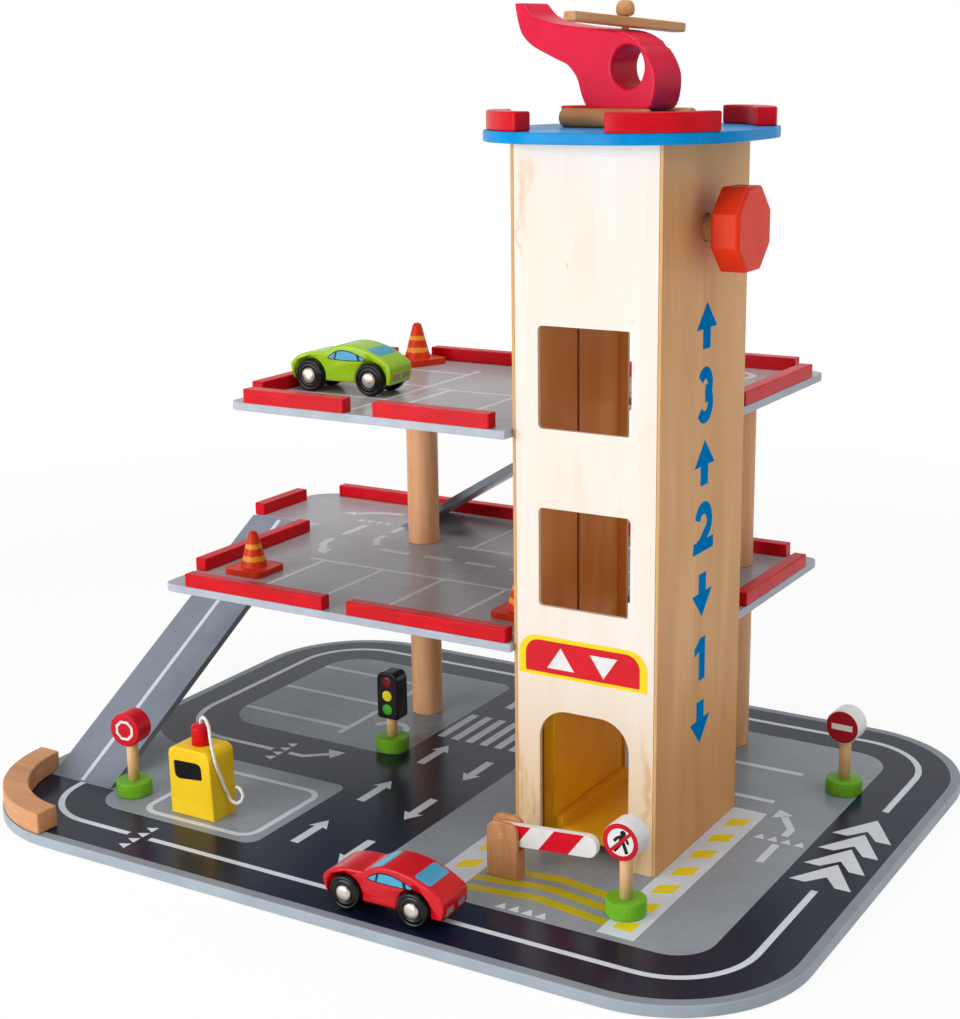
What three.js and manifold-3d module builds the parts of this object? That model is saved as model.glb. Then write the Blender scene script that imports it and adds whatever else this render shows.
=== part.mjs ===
// Wooden toy parking garage: a tower with a hoisted lift, two decks on posts with ramps and rails,
// a helicopter on the roof pad, two cars, cones, signs, a traffic light, a pump and a barrier.
// Millimetres, +Z up. Everything is laid out from the tower's front left foot on the board's top,
// and the whole is then moved so that the origin is the bottom centre of the base board.
import * as THREE from 'three';
import { mergeVertices } from 'three/addons/utils/BufferGeometryUtils.js';
import Module from 'manifold-3d';

const wasm = await Module();
wasm.setup();

// Driving dimensions.
const base = { width: 594.3, depth: 457.1, thick: 7.4, corner: 90 };
const fit = { seam: 0.3, running: 0.5, glue: 0.2, weld: 1e-4 };
const tower = {
  fromLeft: 370, fromFront: 144.7, width: 100, depth: 125.8, height: 449.5,
  board: 12, panel: 3, lip: 2.15, groove: 3, grooveDepth: 2, grooveY: 64,
};
const windowCut = { side: 18, size: 63.1, sillLower: 166.3, sillUpper: 279, corner: 3 };
const arch = { height: 98.5, corner: 20 };
const backDoor = { height: 352, corner: 20 };
const deck = { thick: 5.6, rightInset: 0.7, corner: 8, notchCorner: 1.5 };
const post = { height: 133, diameter: 23.8 };
const postPlace = { leftX: -183.5, leftY: 180, rightX: 52, rightY: 234 };
const lowerDeck = { left: 286.5, front: 4.5, back: 276, extLeft: 350.5, extFront: 182, backCorner: 28, innerCorner: 5 };
const upperDeck = { left: 215, front: 9.5, back: 205.5, extBack: 276, extLeft: 5, innerCorner: 3 };
const rail = { side: 9.5 };
// Rail runs: start from the deck's left or front edge, and length.
const railRuns = {
  lowerFrontLeft: { start: 20.5, length: 119 }, lowerFrontRight: { start: 159, length: 123.5 },
  lowerLeft: { start: 36.6, length: 128 }, lowerExtLeft: { start: 188.5, length: 59 },
  lowerBack: { start: 25.5, length: 402.5 }, lowerRight: { start: 144.5, length: 111 },
  upperFrontLeft: { start: 13, length: 81.4 }, upperFrontRight: { start: 117, length: 86.4 },
  upperLeft: { start: 26.5, length: 168 }, upperBack: { start: 31, length: 174 },
  upperExtBack: { start: 7, length: 68 }, upperRight: { start: 139.5, length: 121 },
};
const lowerRamp = { width: 54.8, foot: -62.2, thick: 5.4 };
const upperRamp = { front: 206.5, width: 55.5, foot: -223, thick: 5.6 };
const rampStop = { x: -280, y: -54.7, outer: 89, width: 17.5, height: 15, from: 179, to: 267 };
const cabin = { side: 1, front: 14.4, depth: 97.6, wall: 7.8, under: 5.5, floor: 7.1, room: 95, batten: 6 };
const shaft = { diameter: 16, y: 62.9, belowTop: 51.5, seat: 6, reach: 12 };
const knob = { acrossFlats: 50, thick: 18.2, rearX: 112.2, chamfer: 1.6, flats: 8 };
const hoistCord = { diameter: 1.8, under: 0.4, inward: 10, lowBelowShaft: 48, highBelowShaft: 14 };
const pad = { x: 49, y: 63, half: 84.5, corner: 70.5, thick: 6.7 };
const bumper = { outer: 68.5, width: 13, height: 11.5, spanAngle: 60 };
const bumperStartAngle = { back_right: 14, back_left: 92, front_left: 191.5, front_right: -84 };
const helicopter = {
  x: 50, y: 62.5, turn: -14.5, thick: 25.4, tail: 87.7, nose: 27.6, bottom: 10.3, top: 74.6,
  holeX: 5.6, holeZ: 35.4, hole: 25.6,
};
const skid = { diameter: 11.5, length: 75, x: -4.5, y: 15.6 };
const rotor = { length: 75, width: 14, thick: 5, turn: 71.5, lean: 5.3, z: 61.95, bore: 6.4, pinX: -6.8 };
const rotorPin = { neck: 4.4, head: 11.4, headBottom: 65.1, headHeight: 9.2, crown: 3 };
const car = {
  width: 28, bottom: 8.2, height: 25.6, wheel: 22.4, tread: 7, arch: 26, wheelbase: 48.4,
  proud: 2, axle: 4, edge: 1.2, wheelEdge: 1.2, hub: 10.8, hubProud: 1.5,
};
// Each car stands by its front wheels; its shell reaches ahead of and behind the axles by its own two overhangs.
const redCar = { frontAxleX: -44.7, y: -115.4, turn: 0.6, ahead: 16.8, behind: 21.2 };
const greenCar = { frontAxleX: -187.9, y: 60.7, turn: 2.4, ahead: 16.3, behind: 16.4 };
const cone = { side: 32, corner: 4, plate: 4.5, foot: 19.5, tip: 7, height: 30.4 };
const conePlace = {
  lower_left: { x: -246.5, y: 50, turn: 0 }, lower_right: { x: -25, y: 53, turn: 0 }, upper: { x: -183.6, y: 176.8, turn: -24 },
};
const sign = { foot: 25, footHeight: 12.5, pole: 8, disc: 24.1, discThick: 15.5, socket: 5, edge: 0.8 };
const signPlace = {
  stop: { x: -276, y: -58, middle: 49.3, turn: 7 }, walker: { x: 105, y: -50.7, middle: 49, turn: -1.2 },
  entry: { fromRight: 68.3, y: 186.6, middle: 49.7, turn: -2.4 },
};
const light = { x: -163.1, y: 99.6, shift: 0.8, width: 18, depth: 14, bottom: 25.5, top: 61.5, corner: 4, lamp: 6.8, lampProud: 0.4 };
const pump = {
  left: -230, width: 35.5, back: -46.5, footDepth: 23.5, topDepth: 28, height: 50, corner: 6,
  capX: -211.5, capY: -59, cap: 13.6, capTop: 64,
};
const hose = { diameter: 2.4, loop: 5.4, loopTurnShare: 0.8, drift: 3.6 };
const barrier = {
  x: 5.3, width: 22, front: -46.5, depth: 10.9, height: 37, slot: 5.2, slotBottom: 18.6, pivotX: 15.9, pivotZ: 28.3,
  arm: 14, armThick: 4.5, armLeft: 7.8, armRight: 65.4, rise: 4.5, pin: 5, corner: 10.5, backRise: 2.2,
};
const facets = { round: 32, small: 20, corner: 8, cord: 8 };

// Sizes that follow from them.
const lowerTop = post.height + deck.thick;
const upperUnder = lowerTop + post.height;
const upperTop = upperUnder + deck.thick;
const padTop = tower.height + pad.thick;
const baseRight = base.width - tower.fromLeft;
const shaftZ = tower.height - shaft.belowTop;
const deckRight = tower.width - deck.rightInset;
const notchBack = tower.depth + fit.seam;
const cabinLeft = tower.board + cabin.side;
const cabinRight = tower.width - cabinLeft;
const cabinBack = cabin.front + cabin.depth;
const cabinTop = cabin.under + cabin.floor + cabin.room + cabin.wall;
const rad = (degrees) => THREE.MathUtils.degToRad(degrees);

const paint = {
  slate: 0x454a56, grey: 0x9a9ca3, beech: 0xc98d5c, ply: 0xf2e0c0, plyEdge: 0xd9b98c, red: 0xd3141f, blue: 0x1e9ad8,
  orange: 0xe8361c, lime: 0x86c22c, green: 0x6fb52a, yellow: 0xffd92a, black: 0x1c1c1e, coneRed: 0xe8401c, white: 0xf4f4f2,
  cordBrown: 0x6b4a2c, natural: 0xd8a874,
};

// Solids and meshes.
const solidOf = (geometry) => {
  const bare = geometry.clone();
  for (const key of Object.keys(bare.attributes)) if (key !== 'position') bare.deleteAttribute(key);
  const merged = mergeVertices(bare, fit.weld);
  return new wasm.Manifold(new wasm.Mesh({
    numProp: 3,
    vertProperties: Float32Array.from(merged.attributes.position.array),
    triVerts: Uint32Array.from(merged.index.array),
  }));
};
const geometryOf = (solid) => {
  const data = solid.getMesh();
  const geometry = new THREE.BufferGeometry();
  geometry.setAttribute('position', new THREE.BufferAttribute(Float32Array.from(data.vertProperties), 3));
  geometry.setIndex(new THREE.BufferAttribute(Uint32Array.from(data.triVerts), 1));
  geometry.computeVertexNormals();
  return geometry;
};
const block = (x0, x1, y0, y1, z0, z1) => new THREE.BoxGeometry(x1 - x0, y1 - y0, z1 - z0)
  .translate((x0 + x1) / 2, (y0 + y1) / 2, (z0 + z1) / 2);
const rod = (diameter, length, sides = facets.round) => new THREE.CylinderGeometry(diameter / 2, diameter / 2, length, sides)
  .rotateX(Math.PI / 2).translate(0, 0, length / 2);
const alongX = (geometry) => geometry.rotateY(Math.PI / 2);
const alongY = (geometry) => geometry.rotateX(-Math.PI / 2);

// A closed outline whose corners [x, y, radius] are rounded.
const outline = (corners) => {
  const points = [];
  corners.forEach(([x, y, radius], i) => {
    const [px, py] = corners[(i + corners.length - 1) % corners.length];
    const [nx, ny] = corners[(i + 1) % corners.length];
    const corner = new THREE.Vector2(x, y);
    if (!radius) { points.push(corner); return; }
    const back = new THREE.Vector2(px - x, py - y).normalize();
    const ahead = new THREE.Vector2(nx - x, ny - y).normalize();
    const half = Math.acos(THREE.MathUtils.clamp(back.dot(ahead), -1, 1)) / 2;
    const reach = radius / Math.tan(half);
    const centre = back.clone().add(ahead).normalize().multiplyScalar(radius / Math.sin(half)).add(corner);
    const start = back.clone().multiplyScalar(reach).add(corner).sub(centre);
    const end = ahead.clone().multiplyScalar(reach).add(corner).sub(centre);
    let sweep = end.angle() - start.angle();
    if (sweep > Math.PI) sweep -= 2 * Math.PI;
    if (sweep < -Math.PI) sweep += 2 * Math.PI;
    const steps = Math.max(2, Math.round(facets.corner * Math.abs(sweep) / (Math.PI / 2) * (radius > cone.side ? 2 : 1)));
    for (let k = 0; k <= steps; k += 1) {
      points.push(start.clone().rotateAround(new THREE.Vector2(), sweep * k / steps).add(centre));
    }
  });
  return new THREE.Shape(points);
};
const slab = (shape, z0, z1) => new THREE.ExtrudeGeometry(shape, { depth: z1 - z0, bevelEnabled: false, curveSegments: facets.round })
  .translate(0, 0, z0);
const rectangle = (x0, x1, y0, y1, radius) => outline([[x0, y0, radius], [x1, y0, radius], [x1, y1, radius], [x0, y1, radius]]);
// An outline drawn in X and Z, run along Y from y0 to y1, and one drawn in Y and Z, run along X.
const standing = (shape, y0, y1) => slab(shape, -y1, -y0).rotateX(Math.PI / 2);
const crossing = (shape, x0, x1) => slab(shape, x0, x1).applyMatrix4(
  new THREE.Matrix4().set(0, 0, 1, 0, 1, 0, 0, 0, 0, 1, 0, 0, 0, 0, 0, 1));
const turned = (profile, sides = facets.round) => new THREE.LatheGeometry(
  profile.map(([radius, z]) => new THREE.Vector2(radius, z)), sides).rotateX(Math.PI / 2);
// A turned peg with small chamfers, standing on z = 0.
const puck = (diameter, height, edge, sides = facets.round) => turned([
  [0, 0], [diameter / 2 - edge, 0], [diameter / 2, edge], [diameter / 2, height - edge], [diameter / 2 - edge, height], [0, height],
], sides);
const joined = (...parts) => parts.map((part) => (part instanceof THREE.BufferGeometry ? solidOf(part) : part))
  .reduce((sum, part) => sum.add(part));
const cutBy = (body, ...cutters) => cutters.map((cutter) => (cutter instanceof THREE.BufferGeometry ? solidOf(cutter) : cutter))
  .reduce((rest, cutter) => rest.subtract(cutter), body instanceof THREE.BufferGeometry ? solidOf(body) : body);

const garage = new THREE.Group();
const laid = new THREE.Group();
laid.position.set(tower.fromLeft - base.width / 2, tower.fromFront - base.depth / 2, base.thick);
garage.add(laid);
const place = (name, shape, color, parent = laid, roughness = 0.5) => {
  const geometry = shape instanceof THREE.BufferGeometry ? shape : geometryOf(shape);
  const mesh = new THREE.Mesh(geometry, new THREE.MeshStandardMaterial({ color, roughness, metalness: 0 }));
  mesh.name = name;
  parent.add(mesh);
  return mesh;
};
const groupAt = (x, y, z, turn) => {
  const group = new THREE.Group();
  group.position.set(x, y, z);
  group.rotation.z = rad(turn);
  laid.add(group);
  return group;
};

function makeBase() {
  const left = -tower.fromLeft;
  const front = -tower.fromFront;
  place('base_board', slab(rectangle(left, left + base.width, front, front + base.depth, base.corner), -base.thick, 0), paint.slate);
  const ring = new THREE.Shape();
  ring.absarc(0, 0, rampStop.outer, rad(rampStop.from), rad(rampStop.to), false);
  ring.absarc(0, 0, rampStop.outer - rampStop.width, rad(rampStop.to), rad(rampStop.from), true);
  place('ramp_stop', slab(ring, 0, rampStop.height).translate(rampStop.x, rampStop.y, 0), paint.beech);
}

function makeTower() {
  const { width, depth, height, board, panel, lip, groove, grooveDepth, grooveY } = tower;
  const holes = [windowCut.sillLower, windowCut.sillUpper].map((sill) => standing(
    rectangle(windowCut.side, windowCut.side + windowCut.size, sill, sill + windowCut.size, windowCut.corner), -panel, 2 * panel));
  const gate = (high, corner) => outline([
    [windowCut.side, -high, 0], [windowCut.side + windowCut.size, -high, 0],
    [windowCut.side + windowCut.size, high, corner], [windowCut.side, high, corner],
  ]);
  const sheetLeft = lip + fit.glue;
  const sheetRight = width - lip - fit.glue;
  place('tower_front', cutBy(block(sheetLeft, sheetRight, 0, panel, 0, height), ...holes,
    standing(gate(arch.height, arch.corner), -panel, 2 * panel)), paint.ply);
  place('tower_back', cutBy(block(sheetLeft, sheetRight, depth - panel, depth, 0, height),
    standing(gate(backDoor.height, backDoor.corner), depth - 2 * panel, depth + panel)), paint.ply);
  // Each side board has a rebate for the front and back sheets and a groove for the hoist cord.
  const rebate = (y0, y1) => block(lip, board * 2, y0, y1, -panel, height + panel);
  const side = () => cutBy(block(0, board, 0, depth, 0, height),
    rebate(-panel, panel + fit.glue), rebate(depth - panel - fit.glue, depth + panel),
    block(board - grooveDepth, 2 * board, grooveY - groove / 2, grooveY + groove / 2, -panel, height + panel));
  const bearing = (x) => alongX(rod(shaft.diameter + 2 * fit.running, board * 2)).translate(x, shaft.y, shaftZ);
  place('tower_left', side().subtract(solidOf(bearing(board - shaft.seat))), paint.ply);
  const right = side().mirror([1, 0, 0]).translate([width, 0, 0]);
  place('tower_right', right.subtract(solidOf(bearing(width - board - panel))), paint.ply);
}

function makePad() {
  const { x, y, half, corner, thick } = pad;
  place('helipad', slab(rectangle(x - half, x + half, y - half, y + half, corner), padTop - thick, padTop), paint.blue);
  // Each bumper is an arc about its corner's centre; the toy's four are glued on a little unevenly.
  Object.entries(bumperStartAngle).forEach(([name, from]) => {
    const centre = half - corner;
    const cx = x + (name.includes('right') ? centre : -centre);
    const cy = y + (name.includes('back') ? centre : -centre);
    const arc = new THREE.Shape();
    arc.absarc(0, 0, bumper.outer, rad(from), rad(from + bumper.spanAngle), false);
    arc.absarc(0, 0, bumper.outer - bumper.width, rad(from + bumper.spanAngle), rad(from), true);
    const bar = new THREE.ExtrudeGeometry(arc, { depth: bumper.height, bevelEnabled: false, curveSegments: facets.corner * 2 });
    place(`bumper_${name}`, bar.translate(cx, cy, padTop), paint.red);
  });
}

function makeDecks() {
  const { thick, corner, notchCorner } = deck;
  const notch = [[deckRight, notchBack, notchCorner], [-fit.seam, notchBack, 0]];
  const lower = outline([
    [-lowerDeck.left, -lowerDeck.front, corner], [-fit.seam, -lowerDeck.front, 0], ...notch.slice().reverse(),
    [deckRight, lowerDeck.back, corner], [-lowerDeck.extLeft, lowerDeck.back, lowerDeck.backCorner],
    [-lowerDeck.extLeft, lowerDeck.extFront, lowerDeck.innerCorner], [-lowerDeck.left, lowerDeck.extFront, 0],
  ]);
  place('lower_deck', slab(lower, lowerTop - thick, lowerTop), paint.grey);
  const upper = outline([
    [-upperDeck.left, -upperDeck.front, corner], [-fit.seam, -upperDeck.front, 0], ...notch.slice().reverse(),
    [deckRight, upperDeck.extBack, corner], [upperDeck.extLeft, upperDeck.extBack, upperDeck.innerCorner],
    [upperDeck.extLeft, upperDeck.back, 0], [-upperDeck.left, upperDeck.back, corner],
  ]);
  place('upper_deck', slab(upper, upperTop - thick, upperTop), paint.grey);
  for (const [level, bottom] of [['lower', 0], ['upper', lowerTop]]) {
    for (const [hand, x, y] of [['left', postPlace.leftX, postPlace.leftY], ['right', postPlace.rightX, postPlace.rightY]]) {
      place(`post_${level}_${hand}`, rod(post.diameter, post.height).translate(x, y, bottom), paint.beech);
    }
  }
}

function makeRails() {
  const s = rail.side;
  const across = (name, run, left, front, z) => place(`rail_${name}`,
    block(left + run.start, left + run.start + run.length, front, front + s, z, z + s), paint.red);
  const deep = (name, run, left, front, z) => place(`rail_${name}`,
    block(left, left + s, front + run.start, front + run.start + run.length, z, z + s), paint.red);
  const low = [-lowerDeck.left, -lowerDeck.front];
  across('lower_front_left', railRuns.lowerFrontLeft, ...low, lowerTop);
  across('lower_front_right', railRuns.lowerFrontRight, ...low, lowerTop);
  deep('lower_left', railRuns.lowerLeft, ...low, lowerTop);
  deep('lower_ext_left', railRuns.lowerExtLeft, -lowerDeck.extLeft, -lowerDeck.front, lowerTop);
  across('lower_back', railRuns.lowerBack, -lowerDeck.extLeft, lowerDeck.back - s, lowerTop);
  deep('lower_right', railRuns.lowerRight, deckRight - s, -lowerDeck.front, lowerTop);
  const high = [-upperDeck.left, -upperDeck.front];
  across('upper_front_left', railRuns.upperFrontLeft, ...high, upperTop);
  across('upper_front_right', railRuns.upperFrontRight, ...high, upperTop);
  deep('upper_left', railRuns.upperLeft, ...high, upperTop);
  across('upper_back', railRuns.upperBack, high[0], upperDeck.back - s, upperTop);
  across('upper_ext_back', railRuns.upperExtBack, upperDeck.extLeft, upperDeck.extBack - s, upperTop);
  deep('upper_right', railRuns.upperRight, deckRight - s, -upperDeck.front, upperTop);
}

// A ramp's section: it runs from its foot at z0 up to the deck edge at z1 and is cut flush at both ends.
function rampShape(foot, end, z0, z1, thick) {
  const slope = (z1 - z0) / (end - foot);
  const drop = thick * Math.hypot(1, slope);
  return new THREE.Shape([
    new THREE.Vector2(foot, z0), new THREE.Vector2(foot + drop / slope, z0),
    new THREE.Vector2(end, z1 - drop), new THREE.Vector2(end, z1),
  ]);
}

function makeRamps() {
  const low = rampShape(lowerRamp.foot, lowerDeck.extFront - fit.seam, 0, lowerTop, lowerRamp.thick);
  place('lower_ramp', crossing(low, -lowerDeck.extLeft, -lowerDeck.extLeft + lowerRamp.width), paint.grey);
  const high = rampShape(upperRamp.foot, upperDeck.extLeft - fit.seam, lowerTop, upperTop, upperRamp.thick);
  place('upper_ramp', standing(high, upperRamp.front, upperRamp.front + upperRamp.width), paint.grey);
}

// A path given by its own list of points, so that bends get close steps and straights few.
class PointPath extends THREE.Curve {
  constructor(points) { super(); this.points = points; }
  getSpacedPoints() { return this.points; }
  getPoint(t) { return this.getPointAt(t); }
  getPointAt(u) { return this.points[Math.round(u * (this.points.length - 1))].clone(); }
  getTangentAt(u) {
    const i = Math.round(u * (this.points.length - 1));
    const from = this.points[Math.max(i - 1, 0)];
    const to = this.points[Math.min(i + 1, this.points.length - 1)];
    return to.clone().sub(from).normalize();
  }
}
const cordAlong = (points, diameter) => {
  const section = new THREE.Shape(Array.from({ length: facets.cord }, (_, i) => new THREE.Vector2(
    diameter / 2 * Math.cos(2 * Math.PI * i / facets.cord), diameter / 2 * Math.sin(2 * Math.PI * i / facets.cord))));
  return new THREE.ExtrudeGeometry(section, { steps: points.length - 1, extrudePath: new PointPath(points), bevelEnabled: false });
};

function makeLift() {
  const { front, wall, under, floor, room, batten } = cabin;
  const floorTop = under + floor;
  const walls = [[cabinLeft, cabinLeft + wall], [cabinRight - wall, cabinRight]];
  place('cabin_frame', joined(...walls.map(([x0, x1]) => block(x0, x1, front, cabinBack, under, cabinTop)),
    block(cabinLeft, cabinRight, front, cabinBack, floorTop + room, cabinTop)), paint.yellow);
  const inner = [cabinLeft + wall + fit.glue, cabinRight - wall - fit.glue];
  place('cabin_floor', joined(block(...inner, front, cabinBack, under, floorTop),
    block(inner[0], inner[0] + batten, front, cabinBack, under, floorTop + batten),
    block(inner[1] - batten, inner[1], front, cabinBack, under, floorTop + batten)), paint.yellow);

  const shaftLeft = tower.board - shaft.seat + fit.running;
  const shaftRight = knob.rearX + shaft.reach;
  place('lift_shaft', alongX(rod(shaft.diameter, shaftRight - shaftLeft)).translate(shaftLeft, shaft.y, shaftZ), paint.natural);
  const apothem = knob.acrossFlats / 2;
  const radius = apothem / Math.cos(Math.PI / knob.flats);
  const { thick, chamfer } = knob;
  const body = turned([[0, 0], [radius - chamfer, 0], [radius, chamfer], [radius, thick - chamfer],
    [radius - chamfer, thick], [0, thick]], knob.flats).rotateZ(Math.PI / knob.flats);
  const socket = rod(shaft.diameter + 2 * fit.glue, shaft.reach + fit.seam + thick).translate(0, 0, -thick);
  place('lift_knob', geometryOf(cutBy(body, socket)).applyMatrix4(new THREE.Matrix4().makeRotationY(Math.PI / 2))
    .translate(knob.rearX, shaft.y, shaftZ), paint.orange);

  // The hoist cord hangs from the shaft down the left groove, passes under the cabin and comes up the right one.
  const bendHigh = shaftZ - hoistCord.highBelowShaft;
  const bendLow = shaftZ - hoistCord.lowBelowShaft;
  const x0 = tower.board - tower.grooveDepth + fit.glue + hoistCord.diameter / 2;
  const low = under - hoistCord.under - hoistCord.diameter / 2;
  const round = 2 * hoistCord.diameter;
  const high = shaftZ - shaft.diameter / 2 - fit.seam;
  const xIn = x0 + hoistCord.inward;
  const bend = (a, corner, b, steps) => {
    const curve = new THREE.QuadraticBezierCurve3(a, corner, b);
    return curve.getPoints(steps);
  };
  const at = (x, z) => new THREE.Vector3(x, tower.grooveY, z);
  const leftHalf = [at(xIn, high), at(xIn, bendHigh + round)];
  leftHalf.push(...bend(at(xIn, bendHigh + round / 2), at(xIn, bendHigh),
    at(xIn - round / 2, bendHigh - round), 4));
  leftHalf.push(...bend(at(x0 + round / 2, bendLow + round * 2), at(x0, bendLow + round / 2),
    at(x0, bendLow - round), 4));
  for (let i = 1; i < 6; i += 1) leftHalf.push(at(x0, bendLow + (low + round - bendLow) * i / 6));
  leftHalf.push(...bend(at(x0, low + round), at(x0, low), at(x0 + round, low), 5));
  const mirrored = leftHalf.slice().reverse().map((point) => at(tower.width - point.x, point.z));
  place('hoist_cord', cordAlong([...leftHalf, ...mirrored], hoistCord.diameter), paint.cordBrown);
}

function makeHelicopter() {
  const group = groupAt(helicopter.x, helicopter.y, padTop, helicopter.turn);
  const { thick, tail, nose, bottom, top, holeX, holeZ, hole } = helicopter;
  // The side view from the tail's tip, clockwise: shares of the length from the tail and of the height from the bottom.
  const sideShares = [
    [0.001, 1], [0.008, 0.927], [0.044, 0.728], [0.075, 0.662], [0.118, 0.606], [0.175, 0.557], [0.23, 0.52],
    [0.292, 0.476], [0.343, 0.444], [0.38, 0.412], [0.418, 0.352], [0.445, 0.296], [0.468, 0.221], [0.505, 0.133], [0.545, 0.05],
    [0.57, 0.015], [0.605, 0], [0.93, 0], [0.957, 0.02], [0.98, 0.07], [0.993, 0.15], [1, 0.235], [0.997, 0.33], [0.978, 0.413],
    [0.945, 0.505], [0.898, 0.592], [0.85, 0.645], [0.796, 0.691], [0.72, 0.723], [0.625, 0.742], [0.53, 0.755],
    [0.448, 0.768], [0.35, 0.788], [0.267, 0.812], [0.205, 0.838], [0.157, 0.862], [0.115, 0.9], [0.082, 0.955], [0.053, 0.999],
  ];
  const length = tail + nose;
  const side = new THREE.Shape(sideShares.map(([along, up]) => new THREE.Vector2(along * length - tail, bottom + up * (top - bottom))));
  const grip = (y) => alongX(rod(skid.diameter + 2 * fit.seam, skid.length * 2)).translate(skid.x - skid.length, y, skid.diameter / 2);
  const neckBottom = bottom + (top - bottom) / 2;
  const { neck, head, headBottom, headHeight, crown } = rotorPin;
  const pin = turned([[0, neckBottom], [neck / 2, neckBottom], [neck / 2, headBottom], [head / 2 - crown / 2, headBottom],
    [head / 2, headBottom + crown / 2], [head / 2, headBottom + headHeight - crown],
    [head / 2 - crown * 0.3, headBottom + headHeight - crown * 0.3], [head / 2 - crown, headBottom + headHeight],
    [0, headBottom + headHeight]], facets.small).translate(rotor.pinX, 0, 0);
  const body = cutBy(standing(side, -thick / 2, thick / 2),
    alongY(rod(hole, thick * 2)).translate(holeX, -thick, holeZ), grip(-skid.y), grip(skid.y));
  place('helicopter_body', body.add(solidOf(pin)), paint.red, group);
  for (const [name, y] of [['front', -skid.y], ['back', skid.y]]) {
    const start = skid.x - skid.length / 2;
    place(`skid_${name}`, alongX(puck(skid.diameter, skid.length, sign.edge, facets.small)).translate(start, y, skid.diameter / 2),
      paint.natural, group);
  }
  const blade = new THREE.Group();
  blade.position.set(rotor.pinX, 0, rotor.z);
  blade.rotation.set(0, rad(rotor.lean), rad(rotor.turn), 'ZYX');
  group.add(blade);
  place('rotor', cutBy(block(-rotor.length / 2, rotor.length / 2, -rotor.width / 2, rotor.width / 2, -rotor.thick / 2, rotor.thick / 2),
    rod(rotor.bore, rotor.thick * 2, facets.small).translate(0, 0, -rotor.thick)), paint.natural, blade);
}

// The car's side view from the nose over the roof: shares of the length and of the height above the sill.
const carSideShares = [
  [0.03, 0], [0.004, 0.22], [0, 0.37], [0.012, 0.43], [0.035, 0.505], [0.065, 0.58], [0.105, 0.645], [0.15, 0.69], [0.2, 0.72],
  [0.25, 0.735], [0.3, 0.738], [0.345, 0.745], [0.37, 0.785], [0.4, 0.85], [0.435, 0.91], [0.475, 0.96], [0.515, 0.988], [0.56, 1], [0.61, 0.995],
  [0.665, 0.972], [0.72, 0.93], [0.78, 0.87], [0.84, 0.79], [0.9, 0.69], [0.95, 0.585], [0.98, 0.52], [0.996, 0.465], [1, 0.4],
  [1, 0.17], [0.985, 0],
];

function makeCar(name, spot, level, color) {
  const group = groupAt(spot.frontAxleX, spot.y, level, spot.turn);
  const { width, bottom, height, wheel, tread, proud, axle, edge, wheelbase } = car;
  const length = spot.ahead + wheelbase + spot.behind;
  const side = new THREE.Shape(carSideShares.slice().reverse().map(([along, up]) => new THREE.Vector2(
    edge - spot.ahead + along * (length - 2 * edge), bottom + edge + up * (height - 2 * edge))));
  const shell = new THREE.ExtrudeGeometry(side, {
    depth: width - 2 * edge, bevelEnabled: true, bevelThickness: edge, bevelSize: edge, bevelSegments: 2,
  }).rotateX(Math.PI / 2).translate(0, width / 2 - edge, 0);
  const spine = width / 2 + proud - tread - fit.running;
  const cutters = [];
  for (const x of [0, wheelbase]) {
    for (const hand of [-1, 1]) {
      cutters.push(alongY(rod(car.arch, width)).translate(x, hand > 0 ? spine : -spine - width, wheel / 2));
    }
    cutters.push(alongY(rod(axle + 2 * fit.running, width * 2, facets.small)).translate(x, -width, wheel / 2));
  }
  place(`${name}_body`, cutBy(shell, ...cutters), color, group);
  // A wheel's outer side carries a low domed hub.
  const half = turned([[0, 0], [wheel / 2 - car.wheelEdge, 0], [wheel / 2, car.wheelEdge], [wheel / 2, tread - car.wheelEdge],
    [wheel / 2 - car.wheelEdge, tread], [car.hub / 2, tread],
    [car.hub * 0.3, tread + car.hubProud * 0.8], [0, tread + car.hubProud]]);
  for (const [end, x] of [['front', 0], ['rear', wheelbase]]) {
    const pair = [-1, 1].map((hand) => alongY(half.clone()).rotateZ(hand > 0 ? 0 : Math.PI)
      .translate(0, hand * (width / 2 + proud - tread), 0));
    const bar = alongY(rod(axle, width, facets.small)).translate(0, -width / 2, 0);
    place(`${name}_wheels_${end}`, joined(bar, ...pair), paint.black, group).position.set(x, 0, wheel / 2);
  }
}

function makeCones() {
  const { side, corner, plate, foot, tip, height } = cone;
  const profile = [[0, plate / 2], [foot / 2, plate / 2], [foot / 2, plate], [tip / 2, height - tip * 0.3],
    [tip * 0.38, height - tip * 0.08], [tip * 0.2, height], [0, height]];
  for (const [name, { x, y, turn }] of Object.entries(conePlace)) {
    const shape = joined(slab(rectangle(-side / 2, side / 2, -side / 2, side / 2, corner), 0, plate), turned(profile, facets.round));
    place(`cone_${name}`, shape, paint.coneRed, groupAt(x, y, name === 'upper' ? upperTop : lowerTop, turn));
  }
}

function makeSigns() {
  const { foot, footHeight, pole, disc, discThick, socket, edge } = sign;
  for (const [name, { x, fromRight, y, middle, turn }] of Object.entries(signPlace)) {
    const group = groupAt(x ?? baseRight - fromRight, y, 0, turn);
    const poleTop = middle - disc / 2 + socket;
    place(`sign_${name}_stand`, joined(puck(foot, footHeight, edge), rod(pole, poleTop, facets.small)), paint.green, group);
    const plate = alongY(puck(disc, discThick, edge)).translate(0, -discThick / 2, middle);
    place(`sign_${name}_disc`, cutBy(plate,
      rod(pole + 2 * fit.glue, disc, facets.small).translate(0, 0, poleTop + fit.seam - disc)), paint.white, group);
  }
}

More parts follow.
